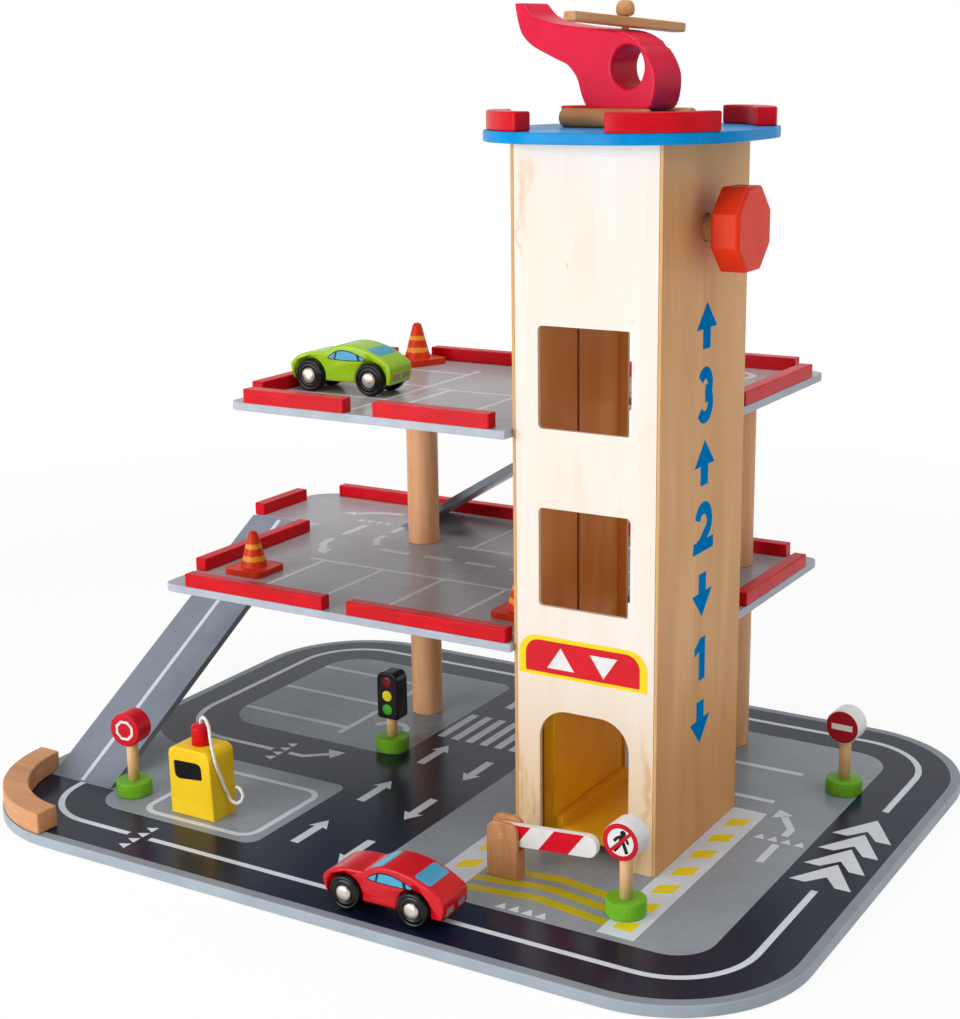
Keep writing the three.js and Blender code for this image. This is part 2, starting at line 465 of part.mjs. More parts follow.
function makeLight() {
  const { x, y, shift, width, depth, bottom, top, corner, lamp, lampProud } = light;
  const group = groupAt(x, y, 0, 0);
  const thirds = [1, 2, 3].map((n) => bottom + (top - bottom) * n / 4 + (n - 2) * lampProud);
  const lamps = thirds.map((z) => alongY(rod(lamp, depth / 2 + lampProud, facets.small)).translate(shift, -depth / 2 - lampProud, z));
  const left = shift - width / 2;
  const face = outline([[left, bottom, corner / 2], [left + width, bottom, corner / 2], [left + width, top, corner], [left, top, corner]]);
  place('traffic_light', joined(puck(sign.foot, sign.footHeight, sign.edge), rod(sign.pole, bottom + lamp / 2, facets.small),
    standing(face, -depth / 2, depth / 2), ...lamps), paint.black, group);
}

function makePump() {
  const { left, width, back, footDepth, topDepth, height, corner, capX, capY, cap, capTop } = pump;
  const section = new THREE.Shape([new THREE.Vector2(back - footDepth, 0), new THREE.Vector2(back, 0),
    new THREE.Vector2(back, height), new THREE.Vector2(back - topDepth, height)]);
  const face = outline([[left, 0, 0], [left + width, 0, 0], [left + width, height, corner], [left, height, corner]]);
  const body = solidOf(crossing(section, left, left + width)).intersect(solidOf(standing(face, back - width, back + width)));
  const button = turned([[0, height - corner], [cap / 2, height - corner], [cap / 2, capTop - 2 * sign.edge],
    [cap / 2 - sign.edge, capTop - sign.edge / 2], [cap / 2 - 2 * sign.edge, capTop], [0, capTop]], facets.small);
  place('pump', body.add(solidOf(button.translate(capX, capY, 0))), paint.yellow);

  // The hose rises from the cap, bends over the right edge, runs down the side and ends in a small loop.
  const right = left + width + hose.diameter / 2 + fit.seam;
  const start = new THREE.Vector3(capX, capY, capTop + fit.seam);
  const rise = hose.diameter;
  const frontTop = back - topDepth;
  const guide = [
    start, start.clone().add(new THREE.Vector3(0, 0, rise)),
    new THREE.Vector3(capX + corner / 3, capY - rise / 3, capTop + 2.2 * rise),
    new THREE.Vector3(capX + corner, capY - rise, capTop + 2.3 * rise),
    new THREE.Vector3(capX + 1.7 * corner, capY - 1.7 * rise, capTop + rise / 3),
    new THREE.Vector3(right - corner * 0.7, capY - 3.2 * rise, height + 1.2 * corner),
    new THREE.Vector3(right + rise / 3, capY - 4.2 * rise, height - corner),
    new THREE.Vector3(right + rise / 6, frontTop + 1.9 * corner, height * 0.6),
    new THREE.Vector3(right + rise / 6, frontTop + 2.5 * corner, height * 0.42),
  ];
  const loopCentre = new THREE.Vector3(right + hose.loop, frontTop + 3 * corner, height * 0.31);
  const turns = 9;
  for (let i = 0; i <= turns; i += 1) {
    const angle = Math.PI * 0.95 + 2 * Math.PI * hose.loopTurnShare * i / turns;
    guide.push(new THREE.Vector3(loopCentre.x + hose.loop * Math.cos(angle), loopCentre.y + hose.drift * i / turns,
      loopCentre.z + hose.loop * Math.sin(angle)));
  }
  const route = new THREE.CatmullRomCurve3(guide, false, 'centripetal').getSpacedPoints(40);
  route[0].set(start.x, start.y, start.z);
  route.splice(1, 0, start.clone().add(new THREE.Vector3(0, 0, rise * 0.6)));
  place('pump_hose', cordAlong(route, hose.diameter), paint.white);
}

function makeBarrier() {
  const { x, width, front, depth, height, slot, slotBottom, pivotX, pivotZ, arm, armThick, armLeft, armRight, rise, pin, corner } = barrier;
  const face = (high) => outline([[x, 0, 0], [x + width, 0, 0], [x + width, high, corner], [x, high, corner]]);
  const middle = front + depth / 2;
  const body = cutBy(joined(standing(face(height), front, middle), standing(face(height + barrier.backRise), middle, front + depth)),
    block(x - width, x + 2 * width, middle - slot / 2, middle + slot / 2, slotBottom, height * 2),
    alongY(rod(pin + 2 * fit.running, depth * 2, facets.small)).translate(pivotX, middle - depth, pivotZ));
  place('barrier_post', body, paint.beech);
  const group = new THREE.Group();
  group.position.set(pivotX, middle, pivotZ);
  group.rotation.y = -rad(rise);
  laid.add(group);
  const bar = standing(rectangle(-armLeft, armRight, -arm / 2, arm / 2, arm * 0.45), -armThick / 2, armThick / 2);
  const axle = alongY(rod(pin, depth, facets.small)).translate(0, -depth / 2, 0);
  place('barrier_arm', joined(bar, axle), paint.red, group);
}

makeBase();
makeTower();
makePad();
makeDecks();
makeRails();
makeRamps();
makeLift();
makeHelicopter();
makeCar('red_car', redCar, 0, paint.red);
makeCar('green_car', greenCar, upperTop, paint.lime);
makeCones();
makeSigns();
makeLight();
makePump();
makeBarrier();

export default garage;
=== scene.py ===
import math

import bmesh
import bpy
from mathutils import Matrix, Vector
from mathutils.geometry import delaunay_2d_cdt


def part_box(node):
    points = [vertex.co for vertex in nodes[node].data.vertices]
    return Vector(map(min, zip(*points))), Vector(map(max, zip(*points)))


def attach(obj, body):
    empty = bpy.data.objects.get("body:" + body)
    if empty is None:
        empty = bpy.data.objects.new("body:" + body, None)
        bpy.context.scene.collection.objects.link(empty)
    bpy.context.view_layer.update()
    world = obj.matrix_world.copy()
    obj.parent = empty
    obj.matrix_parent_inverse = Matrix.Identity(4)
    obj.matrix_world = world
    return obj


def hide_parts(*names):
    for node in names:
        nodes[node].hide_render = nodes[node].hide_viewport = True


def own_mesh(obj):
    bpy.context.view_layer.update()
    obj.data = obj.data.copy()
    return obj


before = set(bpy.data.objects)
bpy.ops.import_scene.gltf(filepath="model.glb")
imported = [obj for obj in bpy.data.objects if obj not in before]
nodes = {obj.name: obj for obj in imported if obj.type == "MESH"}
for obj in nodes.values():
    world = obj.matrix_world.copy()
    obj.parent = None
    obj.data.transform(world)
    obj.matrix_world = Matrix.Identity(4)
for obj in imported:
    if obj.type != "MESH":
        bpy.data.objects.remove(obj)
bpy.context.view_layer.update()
print("frame loaded with", len(nodes), "nodes")

# Lengths are millimetres from the tower's front left foot on the board's top: x right, y back, z up.
siteSet = {"fromLeft": 370.0, "fromFront": 144.7}
boardLow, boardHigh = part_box("base_board")
foot = Vector((boardLow.x + siteSet["fromLeft"] / 1000, boardLow.y + siteSet["fromFront"] / 1000,
               boardHigh.z))


def at(x, y, z):
    return foot + Vector((x, y, z)) / 1000


def spin(degrees, axis="Z"):
    return Matrix.Rotation(math.radians(degrees), 4, axis)


def move(x, y, z):
    return Matrix.Translation(Vector((x, y, z)) / 1000)


def stand(x, y, z=0.0, turn=0.0):
    # where a toy stands, and how far it is turned
    return Matrix.Translation(at(x, y, z)) @ spin(turn)


def link(obj):
    bpy.context.scene.collection.objects.link(obj)
    return obj


# The camera stands where the photographer stood.
cameraSet = {"place": (533.47, -922.49, 497.35), "azimuth": 31.149, "elevation": 14.287, "roll": -0.78,
             "lens": 66.31, "sensor": 36, "reach": 50}


def makeCamera():
    s = cameraSet
    turn, fall, roll = (math.radians(s[key]) for key in ("azimuth", "elevation", "roll"))
    ahead = Vector((-math.sin(turn) * math.cos(fall), math.cos(turn) * math.cos(fall), -math.sin(fall)))
    right = Vector((math.cos(turn), math.sin(turn), 0))
    up = right.cross(ahead)
    right, up = right * math.cos(roll) + up * math.sin(roll), up * math.cos(roll) - right * math.sin(roll)
    camera = link(bpy.data.objects.new("camera", bpy.data.cameras.new("camera")))
    camera.data.lens = s["lens"]
    camera.data.sensor_fit = "HORIZONTAL"
    camera.data.sensor_width = s["sensor"]
    camera.data.clip_end = s["reach"]
    turned = Matrix((right, up, -ahead)).transposed().to_4x4()
    camera.matrix_world = Matrix.Translation(at(*s["place"])) @ turned
    bpy.context.scene.camera = camera


# Small tools for the finishes
def linear(text):
    parts = [int(text[i:i + 2], 16) / 255 for i in (1, 3, 5)]
    return [*(c / 12.92 if c <= 0.04045 else ((c + 0.055) / 1.055) ** 2.4 for c in parts), 1.0]


def add(tree, kind, inputs=None, **settings):
    made = tree.nodes.new(kind)
    for key, value in settings.items():
        setattr(made, key, value)
    for key, value in (inputs or {}).items():
        if isinstance(value, bpy.types.NodeSocket):
            tree.links.new(value, made.inputs[key])
        else:
            made.inputs[key].default_value = value
    return made


def newFinish(name, roughness, gloss=0.2, metallic=0.0):
    material = bpy.data.materials.new(name)
    material.use_nodes = True
    shader = material.node_tree.nodes["Principled BSDF"]
    shader.inputs["Roughness"].default_value = roughness
    shader.inputs["Specular IOR Level"].default_value = gloss
    shader.inputs["Metallic"].default_value = metallic
    return material, material.node_tree, shader


def objectPoint(tree):
    return add(tree, "ShaderNodeTexCoord").outputs["Object"]


def axisOf(tree, where, axis):
    return add(tree, "ShaderNodeSeparateXYZ", {0: where}).outputs[axis]


def maths(tree, kind, *values):
    return add(tree, "ShaderNodeMath", dict(enumerate(values)), operation=kind).outputs[0]


def stretched(tree, along, fine, coarse, turn=0.0, offset=0.0):
    # object coordinates drawn out along one axis, for grain
    where = objectPoint(tree)
    if turn:
        turned = {"Vector": where, "Rotation": (0, 0, math.radians(turn))}
        where = add(tree, "ShaderNodeMapping", turned).outputs["Vector"]
    scale = [fine] * 3
    scale["xyz".index(along)] = coarse
    drawn = {"Vector": where, "Scale": scale, "Location": (offset, offset, offset)}
    return add(tree, "ShaderNodeMapping", drawn).outputs["Vector"]


def noise(tree, where, scale, detail, rough, distortion=0.0):
    values = {"Vector": where, "Scale": scale, "Detail": detail, "Roughness": rough, "Distortion": distortion}
    return add(tree, "ShaderNodeTexNoise", values).outputs["Fac"]


def between(tree, value, low, high, first=0.0, last=1.0):
    values = {"Value": value, "From Min": low, "From Max": high, "To Min": first, "To Max": last}
    return add(tree, "ShaderNodeMapRange", values).outputs["Result"]


def band(tree, value, low, high, soft):
    # one between two limits and nought outside them, with soft borders
    return maths(tree, "MULTIPLY", between(tree, value, low - soft, low + soft),
                 between(tree, value, high + soft, high - soft))


def blend(tree, share, first, second, kind="MIX"):
    made = add(tree, "ShaderNodeMix", data_type="RGBA", blend_type=kind)
    for socket, value in ((made.inputs[0], share), (made.inputs[6], first), (made.inputs[7], second)):
        if isinstance(value, bpy.types.NodeSocket):
            tree.links.new(value, socket)
        else:
            socket.default_value = linear(value) if isinstance(value, str) else value
    return made.outputs[2]


def darkened(tree, colour, grain, low, high, share, tone):
    # the stronger the grain between two limits, the more of a darker tone
    return blend(tree, between(tree, grain, low, high, 0.0, share), colour, tone, "MULTIPLY")


def coloured(tree, shader, colour, roughness=None):
    tree.links.new(colour, shader.inputs["Base Color"])
    if roughness:
        tree.links.new(roughness, shader.inputs["Roughness"])


def bumped(tree, shader, height, strength, depth=0.0002):
    made = add(tree, "ShaderNodeBump", {"Height": height, "Strength": strength, "Distance": depth})
    tree.links.new(made.outputs["Normal"], shader.inputs["Normal"])


# Lacquer and print: a little cloudy in colour, with a soft orange peel, and rubbed in places.
# Each pair for a grain is how fine it is across, and along.
paintSet = {"cloud": 38, "skin": 700, "fibre": (620, 26), "rub": 21}


def paintFinish(name, main, deep, roughness, gloss=0.2, along=None, grain=0.0, peel=0.1, wear=0.045):
    s = paintSet
    material, tree, shader = newFinish(name, roughness, gloss)
    where = objectPoint(tree)
    colour = blend(tree, between(tree, noise(tree, where, s["cloud"], 4, 0.6), 0.34, 0.68), main, deep)
    height = noise(tree, where, s["skin"], 2, 0.5)
    if along:
        fibre = noise(tree, stretched(tree, along, *s["fibre"]), 1.0, 4, 0.6)
        colour = darkened(tree, colour, fibre, 0.45, 0.75, grain, deep)
        height = maths(tree, "ADD", height, fibre)
    rubbed = between(tree, noise(tree, where, s["rub"], 3, 0.6), 0.3, 0.7, roughness - wear, roughness + wear)
    coloured(tree, shader, colour, rubbed)
    bumped(tree, shader, height, peel)
    return material


def printFinish(name, main, deep, roughness, gloss):
    return paintFinish(name, main, deep, roughness, gloss, peel=0.02, wear=0.01)


# Bare or clear-lacquered wood: a broad figure, fine fibres, and short dark pores.
woodSet = {"figureShare": 11, "fibre": (1150, 24), "pore": (1300, 120), "relief": 0.0003}


def woodFinish(name, light, middle, dark, along, roughness=0.48, flecks=0.35, turn=0.0, width=70, offset=0.0,
               fibres=0.3):
    s = woodSet
    material, tree, shader = newFinish(name, roughness, 0.3)
    drawn = stretched(tree, along, width, width / s["figureShare"], turn, offset)
    figure = noise(tree, drawn, 1.0, 5, 0.58, 0.9)
    fibre = noise(tree, stretched(tree, along, *s["fibre"], turn, offset), 1.0, 4, 0.65)
    pore = noise(tree, stretched(tree, along, *s["pore"], turn, offset + 3), 1.0, 2, 0.5)
    colour = blend(tree, between(tree, figure, 0.3, 0.52), light, middle)
    colour = blend(tree, between(tree, figure, 0.5, 0.74), colour, dark)
    colour = darkened(tree, colour, fibre, 0.45, 0.75, fibres, dark)
    colour = darkened(tree, colour, pore, 0.67, 0.71, flecks, dark)
    coloured(tree, shader, colour, between(tree, fibre, 0.3, 0.7, roughness - 0.06, roughness + 0.1))
    bumped(tree, shader, maths(tree, "SUBTRACT", fibre, pore), 0.14, s["relief"])
    return material


# Thin birch plywood: pale outside with an upright figure, darker and bare inside with a warm orange of
# painted bounce light, layered at its cut edges.
# Towards the foot it is painted warmer and darker, as shade and warm bounce light; each streak is x, z, half
# width, half height and tone.
plySet = {
    "figure": (26, 2.6), "fibre": (1100, 16), "fleck": (900, 260), "layer": (1500, 90), "streak": (380, 22),
    "footShadeTop": 150, "footShadeFoot": 5, "footShadeTone": "#e8c284", "footShade": {"X": ("MULTIPLY", 0.3), "Y": ("MIX", 0.8)},
    "bend": 0.006,
}
frontStreaks = [
    (9, 421, 3.2, 26, "#e9b98f"), (13, 434, 5, 9, "#eec6a2"), (6, 398, 1.6, 20, "#e8b78c"),
    (5, 40, 3.6, 46, "#d8a468"), (12, 22, 3.4, 30, "#dba970"), (92, 44, 3.4, 60, "#e0a468"),
    (88, 12, 3.4, 22, "#d9975a"), (70, 232, 3, 12, "#efd9bb"), (33, 379, 0.9, 2.6, "#c08f66"),
]


def streaked(tree, colour, x, z, wide, high, tone):
    # a resin streak or knot: an upright oval, bent and broken by noise
    s = plySet
    where = objectPoint(tree)
    middle = at(x, 0, z)
    bend = between(tree, noise(tree, where, 30, 3, 0.6), 0.3, 0.7, -s["bend"], s["bend"])
    dx = maths(tree, "ADD", axisOf(tree, where, "X"), bend)
    dx = between(tree, dx, middle.x - wide / 1000, middle.x + wide / 1000, -1, 1)
    dz = between(tree, axisOf(tree, where, "Z"), middle.z - high / 1000, middle.z + high / 1000, -1, 1)
    far = maths(tree, "MULTIPLY_ADD", dx, dx, maths(tree, "MULTIPLY", dz, dz))
    broken = noise(tree, stretched(tree, "z", *s["streak"], 0, x), 1.0, 2, 0.5)
    broken = between(tree, broken, 0.3, 0.75, 0.05, 0.85)
    return blend(tree, maths(tree, "MULTIPLY", between(tree, far, 1.0, 0.0), broken), colour, tone)


def plyFinish(name, light, middle, dark, inside, edge, facing, sign, offset, streaks=()):
    s = plySet
    material, tree, shader = newFinish(name, 0.42, 0.14)

    def grain(kind, detail, rough, distortion=0.0, shift=0):
        return noise(tree, stretched(tree, "z", *s[kind], 0, offset + shift), 1.0, detail, rough, distortion)

    figure = grain("figure", 4, 0.5, 1.2)
    fibre = grain("fibre", 4, 0.65)
    colour = blend(tree, between(tree, figure, 0.3, 0.5), light, middle)
    colour = blend(tree, between(tree, figure, 0.52, 0.78), colour, dark)
    colour = darkened(tree, colour, fibre, 0.45, 0.8, 0.18, dark)
    colour = darkened(tree, colour, grain("fleck", 2, 0.6, shift=9), 0.62, 0.76, 0.22, dark)
    # painted shade: the faces turn warmer and darker towards the foot, the side boards by multiplying in the
    # tone
    kind, share = s["footShade"][facing]
    height = axisOf(tree, objectPoint(tree), "Z")
    low = between(tree, height, at(0, 0, s["footShadeTop"]).z, at(0, 0, s["footShadeFoot"]).z, 0.0, share)
    colour = blend(tree, low, colour, s["footShadeTone"], kind)
    for streak in streaks:
        colour = streaked(tree, colour, *streak)
    # the cut edges and the inner face, by the way that the surface looks; the inner face is bare wood tinted
    # warm orange as painted bounce light
    cut = blend(tree, between(tree, grain("layer", 2, 0.5), 0.4, 0.62), edge, middle)
    bareInsideWithBounce = blend(tree, between(tree, figure, 0.35, 0.7, 0.0, 0.45), inside, cut, "MULTIPLY")
    normal = add(tree, "ShaderNodeTexCoord").outputs["Normal"]
    outward = maths(tree, "MULTIPLY", axisOf(tree, normal, facing), sign)
    colour = blend(tree, between(tree, outward, 0.35, 0.75), cut, colour)
    coloured(tree, shader, blend(tree, between(tree, outward, -0.35, -0.75), colour, bareInsideWithBounce))
    bumped(tree, shader, fibre, 0.1)
    return material


# A painted turned cone: its two bands have brushed, slightly uneven borders.
coneSet = {"bands": [(9.2, 12.6), (18.0, 21.3)], "border": 0.35, "wobble": 0.5}


def coneFinish(name, level):
    s = coneSet
    material, tree, shader = newFinish(name, 0.38)
    where = objectPoint(tree)
    base = at(0, 0, level).z
    wobble = s["wobble"] / 1000
    uneven = between(tree, noise(tree, where, 420, 3, 0.6), 0.3, 0.7, -wobble, wobble)
    height = maths(tree, "ADD", axisOf(tree, where, "Z"), uneven)
    colour = blend(tree, between(tree, noise(tree, where, 90, 4, 0.6), 0.35, 0.7), "#e23a17", "#c92c12")
    for low, high in s["bands"]:
        inside = band(tree, height, base + low / 1000, base + high / 1000, s["border"] / 1000)
        thin = between(tree, noise(tree, where, 260, 4, 0.7), 0.3, 0.62, 1.0, 0.72)
        colour = blend(tree, maths(tree, "MULTIPLY", inside, thin), colour, "#f4a72c")
    coloured(tree, shader, colour)
    bumped(tree, shader, noise(tree, where, 700, 3, 0.6), 0.15)
    return material


# The barrier's white lath has two slanting red stripes on its broad faces.
barrierSet = {"pivotX": 15.9, "pivotY": -41.05, "pivotZ": 28.3, "rise": 4.5, "slant": 0.89,
              "stripes": [(-9, 14.1), (30.5, 51.4)], "border": 0.1}


def armFinish(name):
    s = barrierSet
    material, tree, shader = newFinish(name, 0.34)
    where = objectPoint(tree)
    middle = at(s["pivotX"], s["pivotY"], s["pivotZ"])
    rise, slant = math.radians(s["rise"]), s["slant"]
    shareX = math.cos(rise) + slant * math.sin(rise)
    shareZ = math.sin(rise) - slant * math.cos(rise)
    along = maths(tree, "MULTIPLY", axisOf(tree, where, "X"), shareX)
    along = maths(tree, "MULTIPLY_ADD", axisOf(tree, where, "Z"), shareZ, along)
    start = shareX * middle.x + shareZ * middle.z
    stripes = [band(tree, along, start + low / 1000, start + high / 1000, s["border"] / 1000)
               for low, high in s["stripes"]]
    facing = axisOf(tree, add(tree, "ShaderNodeTexCoord").outputs["Normal"], "Y")
    broad = between(tree, maths(tree, "ABSOLUTE", facing), 0.75, 0.9)
    share = maths(tree, "MULTIPLY", maths(tree, "MAXIMUM", *stripes), broad)
    white = blend(tree, between(tree, noise(tree, where, 120, 4, 0.6), 0.4, 0.7), "#f4f2f1", "#eae8e5")
    coloured(tree, shader, blend(tree, share, white, "#e2102a"))
    bumped(tree, shader, noise(tree, where, 800, 2, 0.5), 0.1)
    return material


def steelFinish(name):
    material, tree, shader = newFinish(name, 0.3, 0.5, 0.85)
    where = objectPoint(tree)
    colour = blend(tree, between(tree, noise(tree, where, 260, 3, 0.6), 0.35, 0.7), "#d6cec2", "#c2b9ac")
    coloured(tree, shader, colour, between(tree, noise(tree, where, 500, 3, 0.6), 0.3, 0.7, 0.24, 0.4))
    return material


def cordFinish(name):
    material, tree, shader = newFinish(name, 0.75, 0.2)
    yarn = noise(tree, objectPoint(tree), 1600, 3, 0.7)
    coloured(tree, shader, blend(tree, between(tree, yarn, 0.35, 0.65), "#e4dfd2", "#faf8f0"))
    bumped(tree, shader, yarn, 0.5, 0.0003)
    return material


deckLevels = {"lower": 138.6, "upper": 277.2}
padTop = 456.2

finishes = {
    "road": printFinish("roadPrint", "#0e1b33", "#0c182c", 0.24, 0.28),
    "island": printFinish("islandPrint", "#939ca5", "#8c959e", 0.27, 0.28),
    "line": printFinish("linePrint", "#dbe2ea", "#d0d7e0", 0.27, 0.35),
    "mark": printFinish("yellowPrint", "#f2da1a", "#e6cd14", 0.3, 0.35),
    "wave": printFinish("wavePrint", "#c4b51c", "#b9a918", 0.3, 0.35),
    "deckTop": printFinish("deckPrint", "#adabaf", "#a4a2a6", 0.27, 0.3),
    "deckLine": printFinish("deckLinePrint", "#dcdce1", "#d2d2d8", 0.3, 0.35),
    "border": paintFinish("borderPrint", "#8f97a0", "#858d96", 0.36, peel=0.04, wear=0.02),
    "boardEdge": paintFinish("boardEdge", "#a9b3bd", "#9ca6b1", 0.45, peel=0.12),
    "deckEdge": paintFinish("deckEdge", "#bcc3cf", "#adb4c0", 0.45, peel=0.12),
    "ramp": paintFinish("rampPaint", "#89919d", "#7f8793", 0.36, peel=0.06),
    # the fifth colour of each ply is its inner face: bare wood in a warm orange of painted bounce light
    "plyFront": plyFinish("birchPly", "#fbf2eb", "#f8ece1", "#efddc6", "#ffb765", "#ecd6b2", "Y", -1,
                          1.3, frontStreaks),
    "plyBack": plyFinish("birchPlyBack", "#efe2cd", "#e9d7bb", "#dfc7a2", "#ffd084", "#f2e2c6", "Y", 1,
                         offset=4.2),
    # the two side boards are the same birch ply in a darker tan: painted shade on the side boards
    "plyRightShaded": plyFinish("birchPlyRightShaded", "#f0bc85", "#e6b077", "#d69d63", "#ffb765", "#d7ae78", "X", 1,
                          offset=7.1),
    "plyLeftShaded": plyFinish("birchPlyLeftShaded", "#e5b27c", "#dba66e", "#cb935a", "#f4ba66", "#d7ae78", "X", -1,
                         offset=11.7),
    "beech": woodFinish("beechTurned", "#f4c195", "#ecb483", "#d99c69", "z", flecks=0.5),
    "beechFlat": woodFinish("beechSawn", "#dba175", "#d29769", "#c0855a", "x", flecks=0.4, fibres=0.2),
    "beechPost": woodFinish("beechPost", "#dc9f70", "#cf9062", "#b87949", "z", flecks=0.5, offset=5.0),
    "natural": woodFinish("naturalWood", "#e0ad7c", "#d49e6b", "#bb8451", "x", turn=14.5),
    # painted light: the poles get a lighter copy of the natural wood
    "naturalPoleLit": woodFinish("naturalPoleLit", "#f6cd9c", "#eebf89", "#d8a268", "z"),
    "skid": woodFinish("skidWood", "#d39a66", "#c68b56", "#ac723c", "x", turn=14.5),
    "endGrain": woodFinish("endGrain", "#e3b78a", "#d6a675", "#bf8b58", "y", width=260),
    "blade": woodFinish("bladeWood", "#d9a878", "#cf9b69", "#b9824f", "x", turn=-57),
    "hoist": woodFinish("hoistTwine", "#6d4c2e", "#5b3d24", "#43290f", "z", 0.8),
    "red": paintFinish("redPaint", "#de0e20", "#c90a1a", 0.32, 0.15, along="x", grain=0.3),
    "redDeep": paintFinish("redPaintDeep", "#de0e20", "#c90a1a", 0.32, 0.12, along="y", grain=0.3),
    # painted sheen: the helicopter's red is a pinker, lighter copy of the red paint
    "redHeavySheen": paintFinish("redPaintHeavySheen", "#ec1a42", "#da143a", 0.3, 0.22, peel=0.16),
    "blue": paintFinish("bluePaint", "#009ae0", "#008cd2", 0.32, 0.1, along="x", grain=0.3),
    "orange": paintFinish("orangePaint", "#f43c18", "#e83212", 0.34, 0.12, peel=0.15),
    "green": paintFinish("greenPaint", "#80c62e", "#70b426", 0.38, along="z", grain=0.25),
    "yellow": paintFinish("yellowPaint", "#fdd62a", "#f7ca1f", 0.32),
    "cabin": paintFinish("cabinYellow", "#ffd02c", "#fcc224", 0.36, along="z", grain=0.35),
    "black": paintFinish("blackPaint", "#0d0e0f", "#090a0a", 0.26, 0.35),
    "white": paintFinish("whitePaint", "#f3f2f1", "#e8e6e4", 0.34),
    "lime": paintFinish("limePaint", "#a6d41c", "#98c517", 0.24, 0.35),
    "carRed": paintFinish("carRedPaint", "#d80d20", "#c60a1a", 0.22, 0.3),
    "glass": paintFinish("windowPrint", "#4eacd2", "#439dc3", 0.25, 0.3),
    "trim": paintFinish("blackPrint", "#131518", "#0e0f11", 0.3),
    "lampPrint": paintFinish("lampPrint", "#a88c8e", "#977c7f", 0.3),
    "tyre": paintFinish("tyreBlack", "#0a0a0b", "#070708", 0.22, 0.28),
    "hub": steelFinish("domedHub"),
    "lampRed": paintFinish("lampRed", "#7c1a1c", "#6b1416", 0.22, 0.3),
    "lampYellow": paintFinish("lampYellow", "#f6e428", "#ead61e", 0.22, 0.3),
    "lampGreen": paintFinish("lampGreen", "#48b52c", "#3ca424", 0.22, 0.3),
    "signRed": paintFinish("signRed", "#d81428", "#c50f21", 0.3),
    "signDark": paintFinish("signDark", "#b41021", "#a10c1b", 0.3),
    "plateRed": paintFinish("plateRed", "#e21628", "#d41122", 0.32, peel=0.05),
    "plateYellow": paintFinish("plateYellow", "#ffe31a", "#f6d712", 0.32, peel=0.05),
    "ink": paintFinish("blueInk", "#0088d2", "#007cc6", 0.45, 0.0, peel=0.05),
    "cord": cordFinish("whiteCord"),
    "coneLow": coneFinish("coneLow", deckLevels["lower"]),
    "coneHigh": coneFinish("coneHigh", deckLevels["upper"]),
    "arm": armFinish("armStripes"),
}
print("finishes made:", len(finishes))


# Flat outlines
def arcPoints(x, y, radius, start, end, steps):
    turns = [math.radians(start + (end - start) * i / steps) for i in range(steps + 1)]
    return [(x + radius * math.cos(turn), y + radius * math.sin(turn)) for turn in turns]


def circle(x, y, radius, steps=32):
    return arcPoints(x, y, radius, 0, 360 - 360 / steps, steps - 1)


def octagon(radius):
    return arcPoints(0, 0, radius, 22.5, 337.5, 7)


def rounded(corners, closed=True, steps=9):
    # corners are (x, y, radius); an open run keeps its two ends as they are
    made = []
    count = len(corners)
    for i, (x, y, radius) in enumerate(corners):
        if radius == 0 or (not closed and i in (0, count - 1)):
            made.append((x, y))
            continue
        here = Vector((x, y))
        back = (Vector(corners[i - 1][:2]) - here).normalized()
        on = (Vector(corners[(i + 1) % count][:2]) - here).normalized()
        half = back.angle(on) / 2
        middle = here + (back + on).normalized() * (radius / math.sin(half))
        first = here + back * (radius / math.tan(half)) - middle
        last = here + on * (radius / math.tan(half)) - middle
        sweep = math.atan2(first.x * last.y - first.y * last.x, first.dot(last))
        for k in range(steps + 1):
            turned = Matrix.Rotation(sweep * k / steps, 2) @ first + middle
            made.append((turned.x, turned.y))
    return made


def box(x0, y0, x1, y1, radius=0.0, steps=6):
    return rounded([(x0, y0, radius), (x1, y0, radius), (x1, y1, radius), (x0, y1, radius)], steps=steps)


def tab(x0, y0, x1, y1, low, high, steps=9):
    # a box with one radius for its two lower corners and one for its upper ones
    return rounded([(x0, y0, low), (x1, y0, low), (x1, y1, high), (x0, y1, high)], steps=steps)


def levelBar(left, right, y, width):
    return box(left, y - width / 2, right, y + width / 2)


def uprightBar(x, low, high, width):
    return box(x - width / 2, low, x + width / 2, high)


def stroke(points, width):
    # a line of even width along open points
    left, right = [], []
    for i, (x, y) in enumerate(points):
        before = Vector(points[max(i - 1, 0)])
        after = Vector(points[min(i + 1, len(points) - 1)])
        here = Vector((x, y))
        one = (here - before).normalized() if i else (after - here).normalized()
        two = (after - here).normalized() if i < len(points) - 1 else one
        side = Vector((-(one + two).y, (one + two).x)).normalized()
        reach = width / 2 / max(0.4, side.dot(Vector((-one.y, one.x))))
        left.append(tuple(here + side * reach))
        right.append(tuple(here - side * reach))
    return right + left[::-1]


def shifted(points, x, y, turn=0.0):
    c, s = math.cos(math.radians(turn)), math.sin(math.radians(turn))
    return [(x + c * px - s * py, y + s * px + c * py) for px, py in points]


def straightArrow(x, tip, length, down):
    up = [(-3.2, -length), (3.2, -length), (3.2, -11.5), (7.3, -12.6), (0, 0), (-7.3, -12.6), (-3.2, -11.5)]
    return shifted(up, x, tip, 180 if down else 0)


def triangleRow(x, y, turn, pitch=9.2, size=3.8):
    middles = [share * pitch for share in (-1.5, -0.5, 0.5, 1.5)]
    return [shifted([(cx - size, -size), (cx + size, -size), (cx, size)], x, y, turn) for cx in middles]


